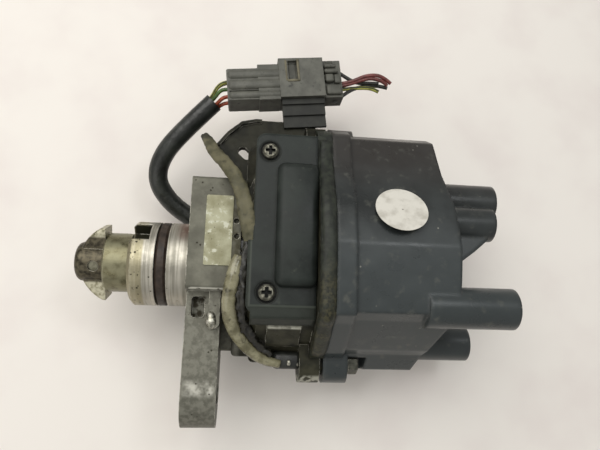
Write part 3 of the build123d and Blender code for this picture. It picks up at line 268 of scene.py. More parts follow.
def spigot_coat(made, mottled, notch_shade):
    """The turned spigot: bright rings, a yellowed tip, a rusty patch, and the slot cut in its wall painted
    near black as shade.
    """
    rings = made.noise(1.3, 2.0, made.stretched(1.0, 0.04, 0.04))
    turned = made.mix(made.step(rings, 0.35, 0.65), srgb(142, 139, 128), srgb(180, 176, 165))
    yellowed = made.mix(made.both(made.patch(**SPIGOT_TIP), 0.6), turned, srgb(150, 142, 108))
    rust = made.both(made.patch(2.5, **RUST), made.step(mottled, 0.3, 0.7, 0.2, 0.9))
    rusty = made.mix(rust, yellowed, srgb(118, 92, 80))
    # Painted shade inside the slot cut in the spigot's wall.
    return made.mix(notch_shade, rusty, srgb(34, 33, 24))


def block_coat(made, mottled, fine):
    """The clamp block, oily towards the bowl and bare along its low edge, and the worn ear."""
    clean = made.mix(made.step(mottled, 0.35, 0.68), srgb(88, 87, 78), srgb(112, 111, 100))
    oil = made.both(made.step(made.axis("X"), *BLOCK_TO_OIL_X), made.step(mottled, 0.42, 0.62))
    block = made.mix(made.both(oil, 0.9), clean, srgb(56, 53, 36))
    worn = made.mix(made.step(fine, 0.36, 0.64), srgb(96, 95, 86), srgb(120, 119, 109))
    rubbed = made.both(made.patch(1.5, **RUBBED_EAR), made.clouds(3.2, 2.0, 0.3, 0.75))
    worn = made.mix(rubbed, worn, srgb(186, 184, 174))
    dirt = made.both(made.patch(**EAR_POCKET), made.step(fine, 0.6, 0.4))
    ear = made.mix(dirt, worn, srgb(44, 40, 28))
    coat = made.mix(made.step(made.axis("Y"), *BLOCK_TO_EAR_Y), block, ear)
    bare = made.both(made.patch(0.25, **BLOCK_EDGE), made.step(fine, 0.4, 0.5))
    return made.mix(bare, coat, srgb(196, 195, 184))


def bowl_coat(made, mottled, fine):
    """The bowl and the darker wing: oily and soiled, with the pad's edge and the lug's tip bare."""
    grimy = made.mix(made.step(mottled, 0.35, 0.65), srgb(30, 30, 22), srgb(58, 57, 45))
    grimy = made.mix(made.step(made.axis("Y"), *BOWL_TO_WING_Y, 0.0, 0.5), grimy, srgb(16, 16, 10))
    pad_edge = made.both(made.patch(0.4, **PAD_EDGE), made.clouds(3.4, 5.0, 0.2, 0.6))
    lug_tip = made.both(made.patch(0.8, **LUG_TIP), made.step(fine, 0.4, 0.55))
    return made.mix(made.either(pad_edge, made.both(lug_tip, 0.8)), grimy, srgb(168, 167, 154))


def casting_pits(made):
    """Round pits: a few on the whole casting, and more on the spigot's front land."""
    few = made.both(made.step(made.cells(2.6), 0.19, 0.11), made.clouds(7.0, 2.0, 0.54, 0.6))
    many = made.both(made.step(made.cells(1.6), 0.34, 0.24), made.clouds(3.2, 2.0, 0.5, 0.55))
    return made.either(few, made.both(many, made.patch(**FRONT_LAND)))


def cast_metal():
    """Die-cast aluminium: turned on the spigot, dull on the block and ear, grimy on the bowl."""
    made = Finish("cast metal", roughness=0.45, metallic=0.55, specular=0.15)
    x, y = made.axis("X"), made.axis("Y")
    mottled = made.noise(9.0, 5.0)
    fine = made.noise(2.2, 5.0)
    bowl = made.either(made.step(x, *BLOCK_TO_BOWL_X), made.step(y, *BOWL_TO_WING_Y))
    # Painted shade: the inside of the slot cut in the spigot's wall is painted near black.
    notch_shade = made.both(made.step(made.away_from(y=0.0, z=0.0), *NOTCH_RADIUS), made.patch(**NOTCH))
    pitted = casting_pits(made)
    coat = made.mix(bowl, block_coat(made, mottled, fine), bowl_coat(made, mottled, fine))
    coat = made.mix(made.step(x, *SPIGOT_TO_BLOCK_X), spigot_coat(made, mottled, notch_shade), coat)
    coat = made.mix(made.both(pitted, 0.85), coat, srgb(46, 42, 32))
    chipped = made.both(made.edges(0.6), made.clouds(3.0, 4.0, 0.44, 0.58))
    bright = made.both(chipped, made.rest(made.both(bowl, 0.45)))
    made.colour(made.mix(bright, coat, srgb(206, 203, 190)))
    made.metal(made.both(made.step(x, *SPIGOT_TO_BLOCK_X, 0.85, 0.35),
                         made.rest(made.either(bowl, notch_shade))))
    made.rough(made.maths("ADD", made.step(fine, 0.3, 0.7, 0.0, 0.16),
                          made.step(x, *SPIGOT_TO_BLOCK_X, 0.34, 0.42)))
    made.bump(made.maths("ADD", made.noise(0.9, 4.0), made.both(pitted, -2.0)), 0.05, corner=0.5)
    return made.material


# ---------------------------------------------------------------- plastics
COVER_SCREWS = ((33.6, 46.8), (34.0, -14.7))  # X and Y of the cover's screws, in millimetres
SCREW_RECESS_SHADE_RADIUS = (5.4, 4.4)
SHOULDER_X = (27.6, 26.2)  # where the cover's top turns into its shoulder
SHOULDER_Y = (-19.2, -21.0)


def cap_plastic():
    """Moulded cap: dull blue-grey black with a painted sheen of paler blue-grey towards the crown's low
    side, brown dust, small scuffs and pale wear on its edges.
    """
    made = Finish("cap plastic", roughness=0.42, specular=0.4)
    cloudy = made.noise(16.0, 4.0)
    y = made.axis("Y")
    body = made.mix(made.step(cloudy), srgb(35, 38, 38), srgb(48, 52, 52))
    # Painted sheen: paler blue-grey towards the low side, standing in for a reflection on the crown.
    painted_sheen = made.mix(made.step(y, 20.0, -4.0, 0.0, 0.6), body, srgb(56, 62, 63))
    brown = made.mix(made.step(y, 24.0, 52.0, 0.0, 0.75), painted_sheen, srgb(48, 44, 41))
    dusty = made.mix(made.clouds(5.0, 6.0, 0.55, 0.85), brown, srgb(84, 85, 79))
    specks = made.both(made.step(made.cells(6.0), 0.075, 0.035), made.clouds(22.0, 3.0, 0.5, 0.6))
    marked = made.mix(specks, dusty, srgb(128, 127, 119))
    worn = made.both(made.edges(0.5), made.clouds(4.0, 5.0, 0.45, 0.7))
    made.colour(made.mix(made.both(worn, 0.5), marked, srgb(134, 136, 132)))
    made.rough(made.step(cloudy, 0.3, 0.7, 0.26, 0.38))
    made.bump(made.noise(0.6, 3.0), 0.02, corner=2.2)
    return made.material


def cover_plastic():
    """Coil cover: dark green-black, with a rounded shoulder marked by a painted highlight line and painted
    shade, and painted shade in the recess round each of its two screws.
    """
    made = Finish("cover plastic", roughness=0.42, specular=0.22)
    cloudy = made.noise(12.0, 4.0)
    body = made.mix(made.step(cloudy), srgb(25, 29, 27), srgb(41, 46, 43))
    coat = made.mix(made.clouds(4.0, 6.0, 0.6, 0.9), body, srgb(80, 83, 73))
    for screw_x, screw_y in COVER_SCREWS:
        # Painted shade: each screw's recess is painted near black round the screw.
        recess_shade = made.step(made.away_from(x=screw_x, y=screw_y), *SCREW_RECESS_SHADE_RADIUS)
        coat = made.mix(recess_shade, coat, srgb(13, 14, 12))
    shoulder = made.either(made.step(made.axis("Y"), *SHOULDER_Y), made.step(made.axis("X"), *SHOULDER_X))
    # Painted highlight: a pale line where the top turns into the shoulder.
    painted_highlight_line = made.both(made.both(shoulder, made.rest(shoulder)), 2.2)
    coat = made.mix(painted_highlight_line, coat, srgb(92, 97, 90))
    # Painted shade on the shoulder beyond that line.
    coat = made.mix(made.both(shoulder, 0.45), coat, srgb(40, 44, 35))
    made.colour(made.mix(made.both(made.edges(0.6), 0.3), coat, srgb(104, 110, 102)))
    made.rough(made.step(cloudy, 0.3, 0.7, 0.36, 0.5))
    made.bump(made.maths("SUBTRACT", made.noise(3.0, 3.0), made.both(shoulder, 6.0)), 0.08, corner=2.0)
    return made.material


def plain_plastic(name, dark, light, roughness=0.5):
    """A dusty moulded plastic between two colours."""
    made = Finish(name, roughness=roughness)
    dusty = made.mix(made.clouds(6.0, 5.0), dark, light)
    smudged = made.mix(made.clouds(2.4, 5.0, 0.58, 0.75), dusty, shade(dark, 0.45))
    made.colour(made.mix(made.both(made.edges(0.4), 0.4), smudged, shade(light, 1.8, 0.02)))
    made.bump(made.noise(0.7, 3.0), 0.02, corner=0.5)
    return made.material


# ---------------------------------------------------------------- steels
BARE_STEEL = srgb(206, 202, 188)
DOG_TIPS_Y = (9.0, 10.2)  # how far out the dog's wings turn from oiled to worn
SCREW_CROSS = ((0.8, 2.2), (2.2, 0.8))  # half width and half height of the cross's two arms


def steel(name, dark, light, roughness=0.35, size=3.0, metallic=0.85):
    """A stained steel between two colours, bright on its edges."""
    made = Finish(name, roughness=roughness, metallic=metallic)
    stained = made.mix(made.clouds(size, 5.0, 0.35, 0.65), dark, light)
    worn = made.both(made.edges(0.4), made.clouds(2.0, 3.0, 0.35, 0.6))
    made.colour(made.mix(worn, stained, BARE_STEEL))
    made.rough(made.clouds(size, 4.0, 0.3, 0.7, roughness - 0.08, roughness + 0.14))
    made.bump(made.noise(0.8, 3.0), 0.02, corner=0.3)
    return made.material


def dog_steel():
    """Drive dog: dark oiled boss, with its two wing tips worn pale."""
    made = Finish("worn dog", roughness=0.36, metallic=0.8)
    blotched = made.noise(1.8, 5.0)
    oiled = made.mix(made.step(blotched, 0.35, 0.65), srgb(54, 50, 40), srgb(96, 90, 74))
    pale = made.mix(made.step(blotched, 0.35, 0.6), srgb(132, 128, 106), srgb(190, 186, 164))
    reach = made.maths("ABSOLUTE", made.axis("Y"))
    tips = made.mix(made.step(reach, *DOG_TIPS_Y), oiled, pale)
    made.colour(made.mix(made.both(made.edges(0.5), 0.6), tips, BARE_STEEL))
    made.rough(made.step(blotched, 0.3, 0.7, 0.26, 0.5))
    made.bump(made.noise(0.7, 4.0), 0.05, corner=0.5)
    return made.material


def screw_steel():
    """Cover screws: dull grey heads, with the cross in each head painted near black as shade."""
    made = Finish("screw steel", roughness=0.36, metallic=0.75)
    head = made.mix(made.clouds(1.6, 4.0, 0.4, 0.6), srgb(74, 73, 64), srgb(124, 122, 110))
    for screw_x, screw_y in COVER_SCREWS:
        for wide, tall in SCREW_CROSS:
            # Painted shade: the cross recess in each head is painted near black.
            painted_cross_shade = made.patch(0.25, x=(screw_x - wide, screw_x + wide), y=(screw_y - tall, screw_y + tall))
            head = made.mix(painted_cross_shade, head, srgb(12, 12, 10))
    made.colour(head)
    made.rough(made.clouds(2.0, 3.0, 0.3, 0.7, 0.28, 0.5))
    made.bump(made.noise(0.8, 3.0), 0.02, corner=0.3)
    return made.material


# ---------------------------------------------------------------- rubber, vinyl, plate and paper
SMEARED_Y = (8.0, -22.0)  # where the joint's dirt starts and where it is full
BLACKENED_Y = (57.0, 60.5)  # the same for the upper strip's black end


def rubber(name, dark, light, roughness=0.5, depth=0.04, size=5.0, specular=0.5):
    """Rubber or vinyl between two colours, with a faint skin."""
    made = Finish(name, roughness=roughness, specular=specular)
    made.colour(made.mix(made.clouds(size, 4.0), dark, light))
    made.rough(made.clouds(3.0, 3.0, 0.3, 0.7, roughness - 0.06, roughness + 0.1))
    made.bump(made.noise(0.4 * size, 3.0), depth)
    return made.material


def joint_rubber():
    """Seal in the joint: black rubber, smeared with olive dirt towards the low side."""
    made = Finish("joint rubber", roughness=0.5, specular=0.3)
    black = made.mix(made.clouds(3.0, 4.0, 0.35, 0.65), srgb(25, 28, 24), srgb(44, 48, 40))
    olive = made.mix(made.clouds(1.4, 5.0, 0.4, 0.6), srgb(32, 32, 23), srgb(62, 60, 42))
    smeared = made.both(made.step(made.axis("Y"), *SMEARED_Y), made.clouds(5.0, 5.0, 0.4, 0.6, 0.2, 1.0))
    made.colour(made.mix(smeared, black, olive))
    made.bump(made.noise(1.6, 4.0), 0.12, corner=0.7)
    return made.material


def strip_vinyl(name, dark, light, roughness, specular):
    """Aged vinyl strip between two colours, smeared with dark dirt."""
    made = Finish(name, roughness=roughness, specular=specular)
    base = made.mix(made.clouds(6.0, 4.0, 0.35, 0.65), dark, light)
    dirty = made.mix(made.both(made.clouds(2.6, 5.0, 0.55, 0.7), 0.7), base, srgb(44, 41, 30))
    blackened = made.step(made.axis("Y"), *BLACKENED_Y, 0.0, 0.8)
    made.colour(made.mix(blackened, dirty, srgb(26, 25, 20)))
    made.rough(made.clouds(3.0, 4.0, 0.4, 0.65, roughness - 0.04, roughness + 0.12))
    made.bump(made.noise(1.6, 4.0), 0.04)
    return made.material


def stained_plate():
    """Bare data plate: pale, dulled metal with yellow-green stains and brown spots."""
    made = Finish("stained plate", roughness=0.5, metallic=0.25)
    base = made.mix(made.clouds(7.0, 5.0), srgb(124, 121, 92), srgb(160, 159, 134))
    pale = made.mix(made.clouds(3.5, 5.0, 0.56, 0.66), base, srgb(184, 184, 166))
    made.colour(made.mix(made.both(made.clouds(1.3, 3.0, 0.66, 0.7), 0.85), pale, srgb(70, 62, 42)))
    made.bump(made.noise(1.5, 3.0), 0.03, corner=0.2)
    return made.material


def worn_paper():
    """Round sticker: white paper with grey smudges."""
    made = Finish("worn paper", roughness=0.6)
    base = made.mix(made.clouds(5.0, 5.0, 0.4, 0.75), srgb(206, 203, 194), srgb(176, 172, 162))
    made.colour(made.mix(made.clouds(2.6, 5.0, 0.66, 0.72), base, srgb(104, 99, 90)))
    made.bump(made.noise(2.0, 3.0), 0.02)
    return made.material


# ---------------------------------------------------------------- the solids' finishes
finishes = {
    "cast_aluminium": cast_metal(),
    "cap_plastic": cap_plastic(),
    "cover_plastic": cover_plastic(),
    "connector_plastic": plain_plastic("connector plastic", srgb(72, 72, 65), srgb(92, 92, 84),
                                       roughness=0.55),
    "plug_plastic": plain_plastic("plug plastic", srgb(62, 62, 55), srgb(86, 86, 78), roughness=0.6),
    "rotor_plastic": plain_plastic("rotor plastic", srgb(60, 50, 40), srgb(84, 70, 54), roughness=0.4),
    "steel": steel("zinc plated steel", srgb(84, 82, 68), srgb(128, 126, 110)),
    "dark_steel": steel("oiled steel", srgb(60, 58, 48), srgb(96, 93, 80), roughness=0.36),
    "bearing_steel": steel("bearing steel", srgb(170, 170, 170), srgb(200, 200, 200), roughness=0.2),
    "bronze": steel("sintered bronze", srgb(130, 96, 56), srgb(160, 124, 78), roughness=0.4),
    "brass": steel("brass", srgb(160, 132, 76), srgb(190, 162, 100), roughness=0.3),
    "copper": steel("copper winding", srgb(140, 78, 46), srgb(170, 102, 64)),
    "rubber": rubber("black rubber", srgb(22, 23, 21), srgb(38, 39, 35)),
    "brown_rubber": rubber("oily rubber", srgb(34, 27, 22), srgb(60, 50, 42), roughness=0.46, depth=0.06,
                           size=2.5, specular=0.3),
    "aged_sealant": joint_rubber(),
    "sleeve_vinyl": rubber("sleeve vinyl", srgb(22, 24, 22), srgb(42, 45, 41), roughness=0.34, depth=0.4,
                           size=9.0),
    "carbon": rubber("carbon", srgb(28, 28, 28), srgb(44, 44, 44), roughness=0.6),
    "plate_metal": stained_plate(),
    "paper": worn_paper(),
    "wire_insulation": rubber("wire insulation", srgb(104, 46, 44), srgb(130, 66, 58), roughness=0.35),
}
# Solids that don't look like the rest of their slot
own_finishes = {
    "drive_dog": dog_steel(),
    "drive_collar": steel("yellowed collar", srgb(98, 94, 70), srgb(130, 127, 102), roughness=0.32,
                          size=4.0, metallic=0.7),
    "connector_clip": plain_plastic("clip plastic", srgb(22, 23, 19), srgb(38, 39, 33), roughness=0.65),
    "cover_screws": screw_steel(),
    "cap_bolts": steel("dark bolts", srgb(52, 52, 46), srgb(86, 86, 76), roughness=0.4, size=2.0,
                       metallic=0.6),
}
for node, solid in frame["nodes"].items():
    solid.data.materials.clear()
    solid.data.materials.append(own_finishes.get(node) or finishes[slots[node]])


# ---------------------------------------------------------------- piece helpers
PATH_STEPS = 7  # points that a smooth path puts on each stretch
STRIP_SIDES = 20
LUMPS_PER_MM = 0.5
FINE_LUMPS_PER_MM = 1.3
UP = Vector((0, 0, 1))


def add_piece(name, data, finish, body="root"):
    """Puts a mesh or curve in the scene as a piece that rides on a body."""
    piece = bpy.data.objects.new(name, data)
    bpy.context.scene.collection.objects.link(piece)
    data.materials.append(finish)
    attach(piece, body)
    return piece


def add_shape(name, shape, finish, body="root"):
    """Adds a shape drawn in millimetres as a piece, smooth all over but for many-sided end caps."""
    bmesh.ops.scale(shape, vec=(MM, MM, MM), verts=shape.verts)
    for face in shape.faces:
        face.smooth = len(face.verts) <= 4
    mesh = bpy.data.meshes.new(name)
    shape.to_mesh(mesh)
    shape.free()
    return add_piece(name, mesh, finish, body)


def edges_of(vertices):
    """Each edge at the vertices, once."""
    return list(dict.fromkeys(edge for vertex in vertices for edge in vertex.link_edges))


def wire(name, points, radius, finish, body="root"):
    """A round wire along points in millimetres, its ends closed."""
    curve = bpy.data.curves.new(name, "CURVE")
    curve.dimensions = "3D"
    curve.bevel_depth = radius * MM
    curve.bevel_resolution = 4
    curve.resolution_u = 10
    curve.use_fill_caps = True
    spline = curve.splines.new("NURBS")
    spline.points.add(len(points) - 1)
    for point, place in zip(spline.points, points):
        point.co = (*(value * MM for value in place), 1.0)
    spline.order_u = 3
    spline.use_endpoint_u = True
    return add_piece(name, curve, finish, body)


def smooth_path(points):
    """Points of a smooth line through tuples of numbers of any length."""
    line = []
    ends = [points[0], *points, points[-1]]
    for before, start, end, after in zip(ends, ends[1:], ends[2:], ends[3:]):
        for step in range(PATH_STEPS):
            t = step / PATH_STEPS
            line.append([0.5 * (2 * b + (c - a) * t + (2 * a - 5 * b + 4 * c - d) * t ** 2
                                + (3 * b - a - 3 * c + d) * t ** 3)
                         for a, b, c, d in zip(before, start, end, after)])
    return line + [list(points[-1])]


def strip(name, stations, finish, lumps=0.0, crease=0.0):
    """A closed strip through stations, swollen by lumps and pressed in by crease on its top.

    A station is x, y, z, half width and half thickness, all in millimetres.
    """
    shape = bmesh.new()
    line = smooth_path(stations)
    last = len(line) - 1
    before = []
    for index, (x, y, z, wide, thick) in enumerate(line):
        centre = Vector((x, y, z))
        along = Vector(line[min(index + 1, last)][:3]) - Vector(line[max(index - 1, 0)][:3])
        side = along.cross(UP).normalized()
        above = side.cross(along).normalized()
        turned = Matrix((side, above, side.cross(above))).transposed().to_4x4()
        section = Matrix.Translation(centre) @ turned @ Matrix.Diagonal((wide, thick, 1.0, 1.0))
        made = bmesh.ops.create_circle(shape, cap_ends=index in (0, last), segments=STRIP_SIDES,
                                       radius=1.0, matrix=section)
        for vertex in made["verts"]:
            across = abs((vertex.co - centre).dot(side)) / wide
            if (vertex.co - centre).dot(above) > 0:
                vertex.co -= above * (crease * max(0.0, 1 - 3 * across))
            outward = (vertex.co - centre).normalized()
            swell = noise.noise(vertex.co * LUMPS_PER_MM) + 0.5 * noise.noise(vertex.co * FINE_LUMPS_PER_MM)
            vertex.co += outward * (lumps * swell)
        ring = edges_of(made["verts"])
        if before:
            bmesh.ops.bridge_loops(shape, edges=before + ring)
        before = ring
    bmesh.ops.recalc_face_normals(shape, faces=shape.faces)
    return add_shape(name, shape, finish)


def blocks(name, boxes, finish, round_by, body="root", place=Matrix.Identity(4)):
    """Small rounded blocks, each from its low and high corner in millimetres, moved to a place."""
    shape = bmesh.new()
    for low, high in boxes:
        low, high = Vector(low), Vector(high)
        middle = Matrix.Translation((low + high) / 2)
        size = Matrix.Diagonal((*(high - low), 1.0))
        made = bmesh.ops.create_cube(shape, size=1.0, matrix=middle @ size)
        bmesh.ops.bevel(shape, geom=edges_of(made["verts"]), offset=round_by, affect="EDGES",
                        segments=3, profile=0.5, material=-1)
    bmesh.ops.transform(shape, matrix=place, verts=shape.verts)
    return add_shape(name, shape, finish, body)


# ---------------------------------------------------------------- camera first, then the sleeve
LENS_MM = 30.12
SENSOR_MM = 36.0
NEAREST_SEEN = 0.01  # in metres, as the distance below
# The camera looks down on the part, a little from the engine's end and the low side.
CAMERA_ROLL = radians(13.0)
CAMERA_PITCH = radians(6.0)
CAMERA_TWIST = radians(-2.6)
CAMERA_DISTANCE = 0.236
CENTRE_X_SHARE = -0.2151394  # how far the part's origin lies off the camera's axis,
CENTRE_Y_SHARE = -0.0796813  # as a share of the distance

SLEEVE_ROUTE = ((21.0, 14.5, -28.5), (9.5, 20.5, -29.5), (-3.5, 28.5, -28.5), (-16.0, 36.0, -24.5),
                (-23.4, 46.5, -18.0), (-20.0, 58.0, -11.0), (-8.5, 70.5, -5.0), (5.4, 83.6, 0.0))
SLEEVE_RADIUS = 4.9


def make_camera():
    """The camera at the distance and angle from which the part is seen."""
    lens = bpy.data.cameras.new("camera")
    lens.lens = LENS_MM
    lens.sensor_width = SENSOR_MM
    lens.clip_start = NEAREST_SEEN
    camera = bpy.data.objects.new("camera", lens)
    turn = (Matrix.Rotation(CAMERA_TWIST, 4, "Z") @ Matrix.Rotation(CAMERA_PITCH, 4, "Y")
            @ Matrix.Rotation(-CAMERA_ROLL, 4, "X"))
    shift = Matrix.Translation(Vector((CENTRE_X_SHARE, CENTRE_Y_SHARE, -1.0)) * CAMERA_DISTANCE)
    camera.matrix_world = (shift @ turn).inverted()
    bpy.context.scene.collection.objects.link(camera)
    bpy.context.scene.camera = camera


def make_sleeve():
    """The vinyl sleeve from the grommet under the housing to its cut end at the connector."""
    sleeve = wire("sleeve", SLEEVE_ROUTE, SLEEVE_RADIUS, finishes["sleeve_vinyl"])
    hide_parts("lead_sleeve")


make_camera()
make_sleeve()


# ---------------------------------------------------------------- wires
def coat(name, colour):
    """Thin glossy wire insulation, a little dirty."""
    return rubber(name, shade(colour, 0.4), colour, roughness=0.35, depth=0.01, size=2.0)


coats = {
    "yellow": coat("yellow coat", srgb(168, 168, 84)),
    "green": coat("green coat", srgb(74, 104, 48)),
    "orange": coat("orange coat", srgb(164, 72, 40)),
    "cream": coat("cream coat", srgb(170, 158, 116)),
    "red_brown": coat("red-brown coat", srgb(122, 64, 60)),
    "black": coat("black coat", srgb(42, 41, 36)),
    "stripe_green": coat("stripe coat", srgb(46, 52, 26)),
}
WIRE_RADIUS = 0.95
STRIPE_RADIUS = 0.45
STRIPE_LIFT = 0.62
# A wire is its name, its coat, its stripe if any, and its points in millimetres.
# The lead's wires run from the sleeve's mouth to the connector.
LEAD_WIRES = (
    ("lead_wire_yellow", "yellow", "stripe_green",
     ((1.0, 82.6, -0.8), (4.0, 85.4, 0.8), (7.0, 90.6, 4.0), (10.6, 92.6, 5.0), (14.0, 93.0, 5.0))),
    ("lead_wire_green", "green", None,
     ((2.0, 81.4, 0.0), (5.2, 84.2, 1.9), (8.4, 87.9, 4.8), (11.6, 88.6, 5.0), (14.6, 88.9, 5.0))),
    ("lead_wire_orange", "orange", None,
     ((3.8, 79.8, -0.4), (7.0, 82.2, 1.2), (9.4, 84.2, 3.6), (11.9, 85.4, 3.6), (15.0, 85.6, 3.6))),
    ("lead_wire_cream", "cream", None,
     ((0.8, 83.0, -2.4), (3.6, 86.0, -1.2), (6.4, 91.8, 0.4), (10.4, 94.0, 1.2), (13.6, 94.4, 1.2))),
    ("lead_wire_low", "orange", None,
     ((4.0, 79.6, -2.6), (7.4, 81.6, -1.4), (9.8, 82.6, 0.6), (12.0, 83.2, 1.0), (15.4, 83.5, 1.0))),
)
# The harness's wires run from the plug to their cut ends.
HARNESS_WIRES = (
    ("wire_red_long", "red_brown", None,
     ((66.0, 96.3, 3.5), (71.8, 97.4, 4.0), (76.3, 98.4, 5.2), (82.1, 101.0, 6.6), (88.3, 102.2, 6.6),
      (93.4, 101.0, 5.6), (96.4, 98.9, 4.6))),
    ("wire_red_short", "red_brown", None,
     ((66.0, 94.9, 3.0), (72.5, 96.4, 3.6), (79.0, 98.6, 5.0), (84.9, 100.4, 6.0), (89.8, 99.9, 5.6),
      (92.8, 99.3, 4.8), (94.6, 97.9, 4.0))),
    ("wire_black_upper", "black", None,
     ((66.0, 104.9, 4.0), (70.4, 102.2, 4.0), (74.6, 100.2, 3.2), (79.3, 98.4, 3.0), (85.3, 99.0, 3.4),
      (90.1, 98.8, 3.6))),
    ("wire_black_lower", "black", None,
     ((66.0, 86.4, 3.0), (70.6, 90.3, 3.0), (75.5, 94.7, 2.2), (80.9, 97.4, 1.6), (87.0, 98.2, 2.0),
      (91.8, 98.2, 2.4), (95.1, 97.2, 2.6))),
    ("wire_striped", "yellow", "stripe_green",
     ((66.0, 93.6, 2.4), (72.1, 94.9, 2.4), (76.8, 95.9, 2.2), (83.6, 96.6, 2.4), (87.7, 96.2, 2.4),
      (90.4, 94.8, 2.4))),
)


def make_wires(rows, body, node):
    """The wires of one group, which together stand for a node."""
    for name, coat_name, stripe, points in rows:
        made = wire(name, points, WIRE_RADIUS, coats[coat_name], body)
        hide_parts(node)
        if stripe:
            raised = [(x, y, z + STRIPE_LIFT) for x, y, z in points]
            wire(name + "_stripe", raised, STRIPE_RADIUS, coats[stripe], body)


make_wires(LEAD_WIRES, "root", "lead_wires")
make_wires(HARNESS_WIRES, "plug", "harness_wires")


# ---------------------------------------------------------------- strips and sealant
UPPER_STRIP = ((2.4, 62.2, 8.6, 1.6, 0.8), (4.6, 58.4, 11.5, 2.5, 1.2), (9.0, 49.4, 19.5, 2.9, 1.4),
               (14.8, 40.8, 27.6, 3.0, 1.4), (19.6, 33.6, 30.6, 3.1, 1.3), (22.6, 25.9, 31.3, 3.3, 1.2),
               (24.6, 17.2, 31.4, 3.5, 1.1), (25.8, 10.6, 31.0, 3.2, 0.9), (26.0, 6.6, 30.6, 2.2, 0.8),
               (25.4, 3.4, 30.2, 0.9, 0.5))
LOWER_STRIP = ((22.2, 0.4, 29.4, 2.2, 1.4), (20.8, -4.4, 29.6, 2.8, 2.2), (19.6, -10.8, 28.9, 3.0, 2.5),
               (18.7, -18.4, 25.6, 3.1, 2.6), (19.6, -25.0, 21.0, 3.1, 2.6), (22.6, -31.4, 16.6, 3.0, 2.5),
               (28.7, -38.1, 11.8, 2.7, 2.3), (35.2, -42.2, 8.6, 2.3, 2.0), (42.0, -43.9, 6.6, 1.8, 1.6))
SEALANT = ((25.4, 6.6, 29.6, 1.4, 1.2), (24.6, -1.0, 29.6, 1.8, 1.5), (24.0, -9.0, 29.2, 2.0, 1.7),
           (23.6, -17.0, 27.4, 2.0, 1.7), (24.4, -24.0, 22.4, 2.0, 1.6), (27.4, -30.6, 17.4, 1.9, 1.4),
           (32.0, -36.0, 13.0, 1.7, 1.3), (37.6, -39.8, 10.4, 1.4, 1.1))
JOINT_BEAD = ((58.2, -38.8, 9.0, 2.8, 1.0), (58.2, -38.4, 15.0, 3.2, 1.7), (58.2, -32.8, 24.4, 3.3, 1.8),
              (58.2, -26.6, 33.9, 3.3, 1.8), (58.2, -23.1, 40.2, 3.2, 1.8), (58.2, -10.0, 41.8, 3.2, 1.7),
              (58.2, 6.0, 42.8, 3.2, 1.7), (58.2, 16.0, 41.6, 3.2, 1.7), (58.2, 25.0, 39.4, 3.2, 1.7),
              (58.2, 40.6, 32.0, 3.2, 1.7), (58.2, 54.0, 28.9, 2.9, 1.5))


def make_strips():
    """The two sealing strips, the black sealant beside them and the bead round the joint."""
    beige = strip_vinyl("beige strip", srgb(66, 64, 45), srgb(98, 94, 72), roughness=0.55, specular=0.3)
    upper = strip("sealing_ribbon", UPPER_STRIP, beige, lumps=0.5, crease=0.5)
    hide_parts("seal_strip_upper")
    glossy = strip_vinyl("glossy strip", srgb(92, 88, 64), srgb(138, 134, 108), roughness=0.2, specular=0.6)
    lower = strip("sealing_tube", LOWER_STRIP, glossy, lumps=0.12)
    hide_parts("seal_strip_lower")
    tar = rubber("black sealant", srgb(14, 14, 12), srgb(40, 38, 30), roughness=0.34, depth=0.2, size=1.5)
    strip("edge_sealant", SEALANT, tar, lumps=1.5)
    strip("joint_bead", JOINT_BEAD, finishes["aged_sealant"], lumps=0.3)


make_strips()


# ---------------------------------------------------------------- small fittings
# The connector's own blocks are drawn along and across it, from its low corner.
CONNECTOR_PLACE = Matrix.Translation((12.8, 80.6, 0.0)) @ Matrix.Rotation(radians(6.5), 4, "Z")
WINDOW_RIM = (((35.4, 8.4, 10.4), (36.6, 20.4, 11.5)), ((30.2, 8.2, 10.4), (36.2, 9.4, 11.5)),
              ((29.4, 8.8, 10.4), (30.4, 20.2, 11.2)))
BODY_RIDGES = (((0.5, 11.2, 6.0), (28.0, 16.2, 10.7)), ((0.5, 5.3, 6.0), (28.0, 10.7, 10.9)),
               ((0.5, 0.4, 6.0), (28.0, 4.8, 10.5)))
REAR_LATCHES = (((49.4, 13.0, 7.0), (56.6, 15.4, 10.6)), ((49.4, 15.8, 7.0), (55.6, 18.0, 11.0)),
                ((50.6, 18.2, 7.0), (54.4, 20.0, 10.0)), ((49.6, 8.2, 7.0), (54.0, 12.4, 10.6)),
                ((54.2, 7.6, 7.0), (57.6, 12.6, 9.8)), ((49.8, 1.6, 7.0), (57.6, 7.0, 9.6)))
BOWL_FLANK = (((12.2, -38.9, -16.0), (26.0, -22.0, -2.0)), ((20.0, -41.2, -16.0), (33.0, -26.0, 1.0)),
              ((28.0, -43.6, -14.0), (40.0, -32.0, 3.5)))
STRIP_CLAMP = (((38.6, -46.2, -4.0), (52.0, -38.5, 6.2)), ((36.8, -44.6, -2.0), (41.0, -39.0, 5.0)))
CLAMP_STUDS = (((45.3, -44.6, 5.0), (47.1, -42.0, 7.3)), ((49.7, -44.9, 5.0), (51.1, -43.3, 7.0)))
EAR_BOSS = ((11.2, -22.4, 16.4, 1.0, 1.0), (11.2, -23.0, 16.8, 1.8, 1.4), (11.3, -24.6, 17.2, 2.2, 1.9),
            (11.4, -27.0, 17.4, 2.3, 2.0), (11.5, -28.8, 17.0, 1.5, 1.3), (11.5, -29.4, 16.6, 0.5, 0.4))


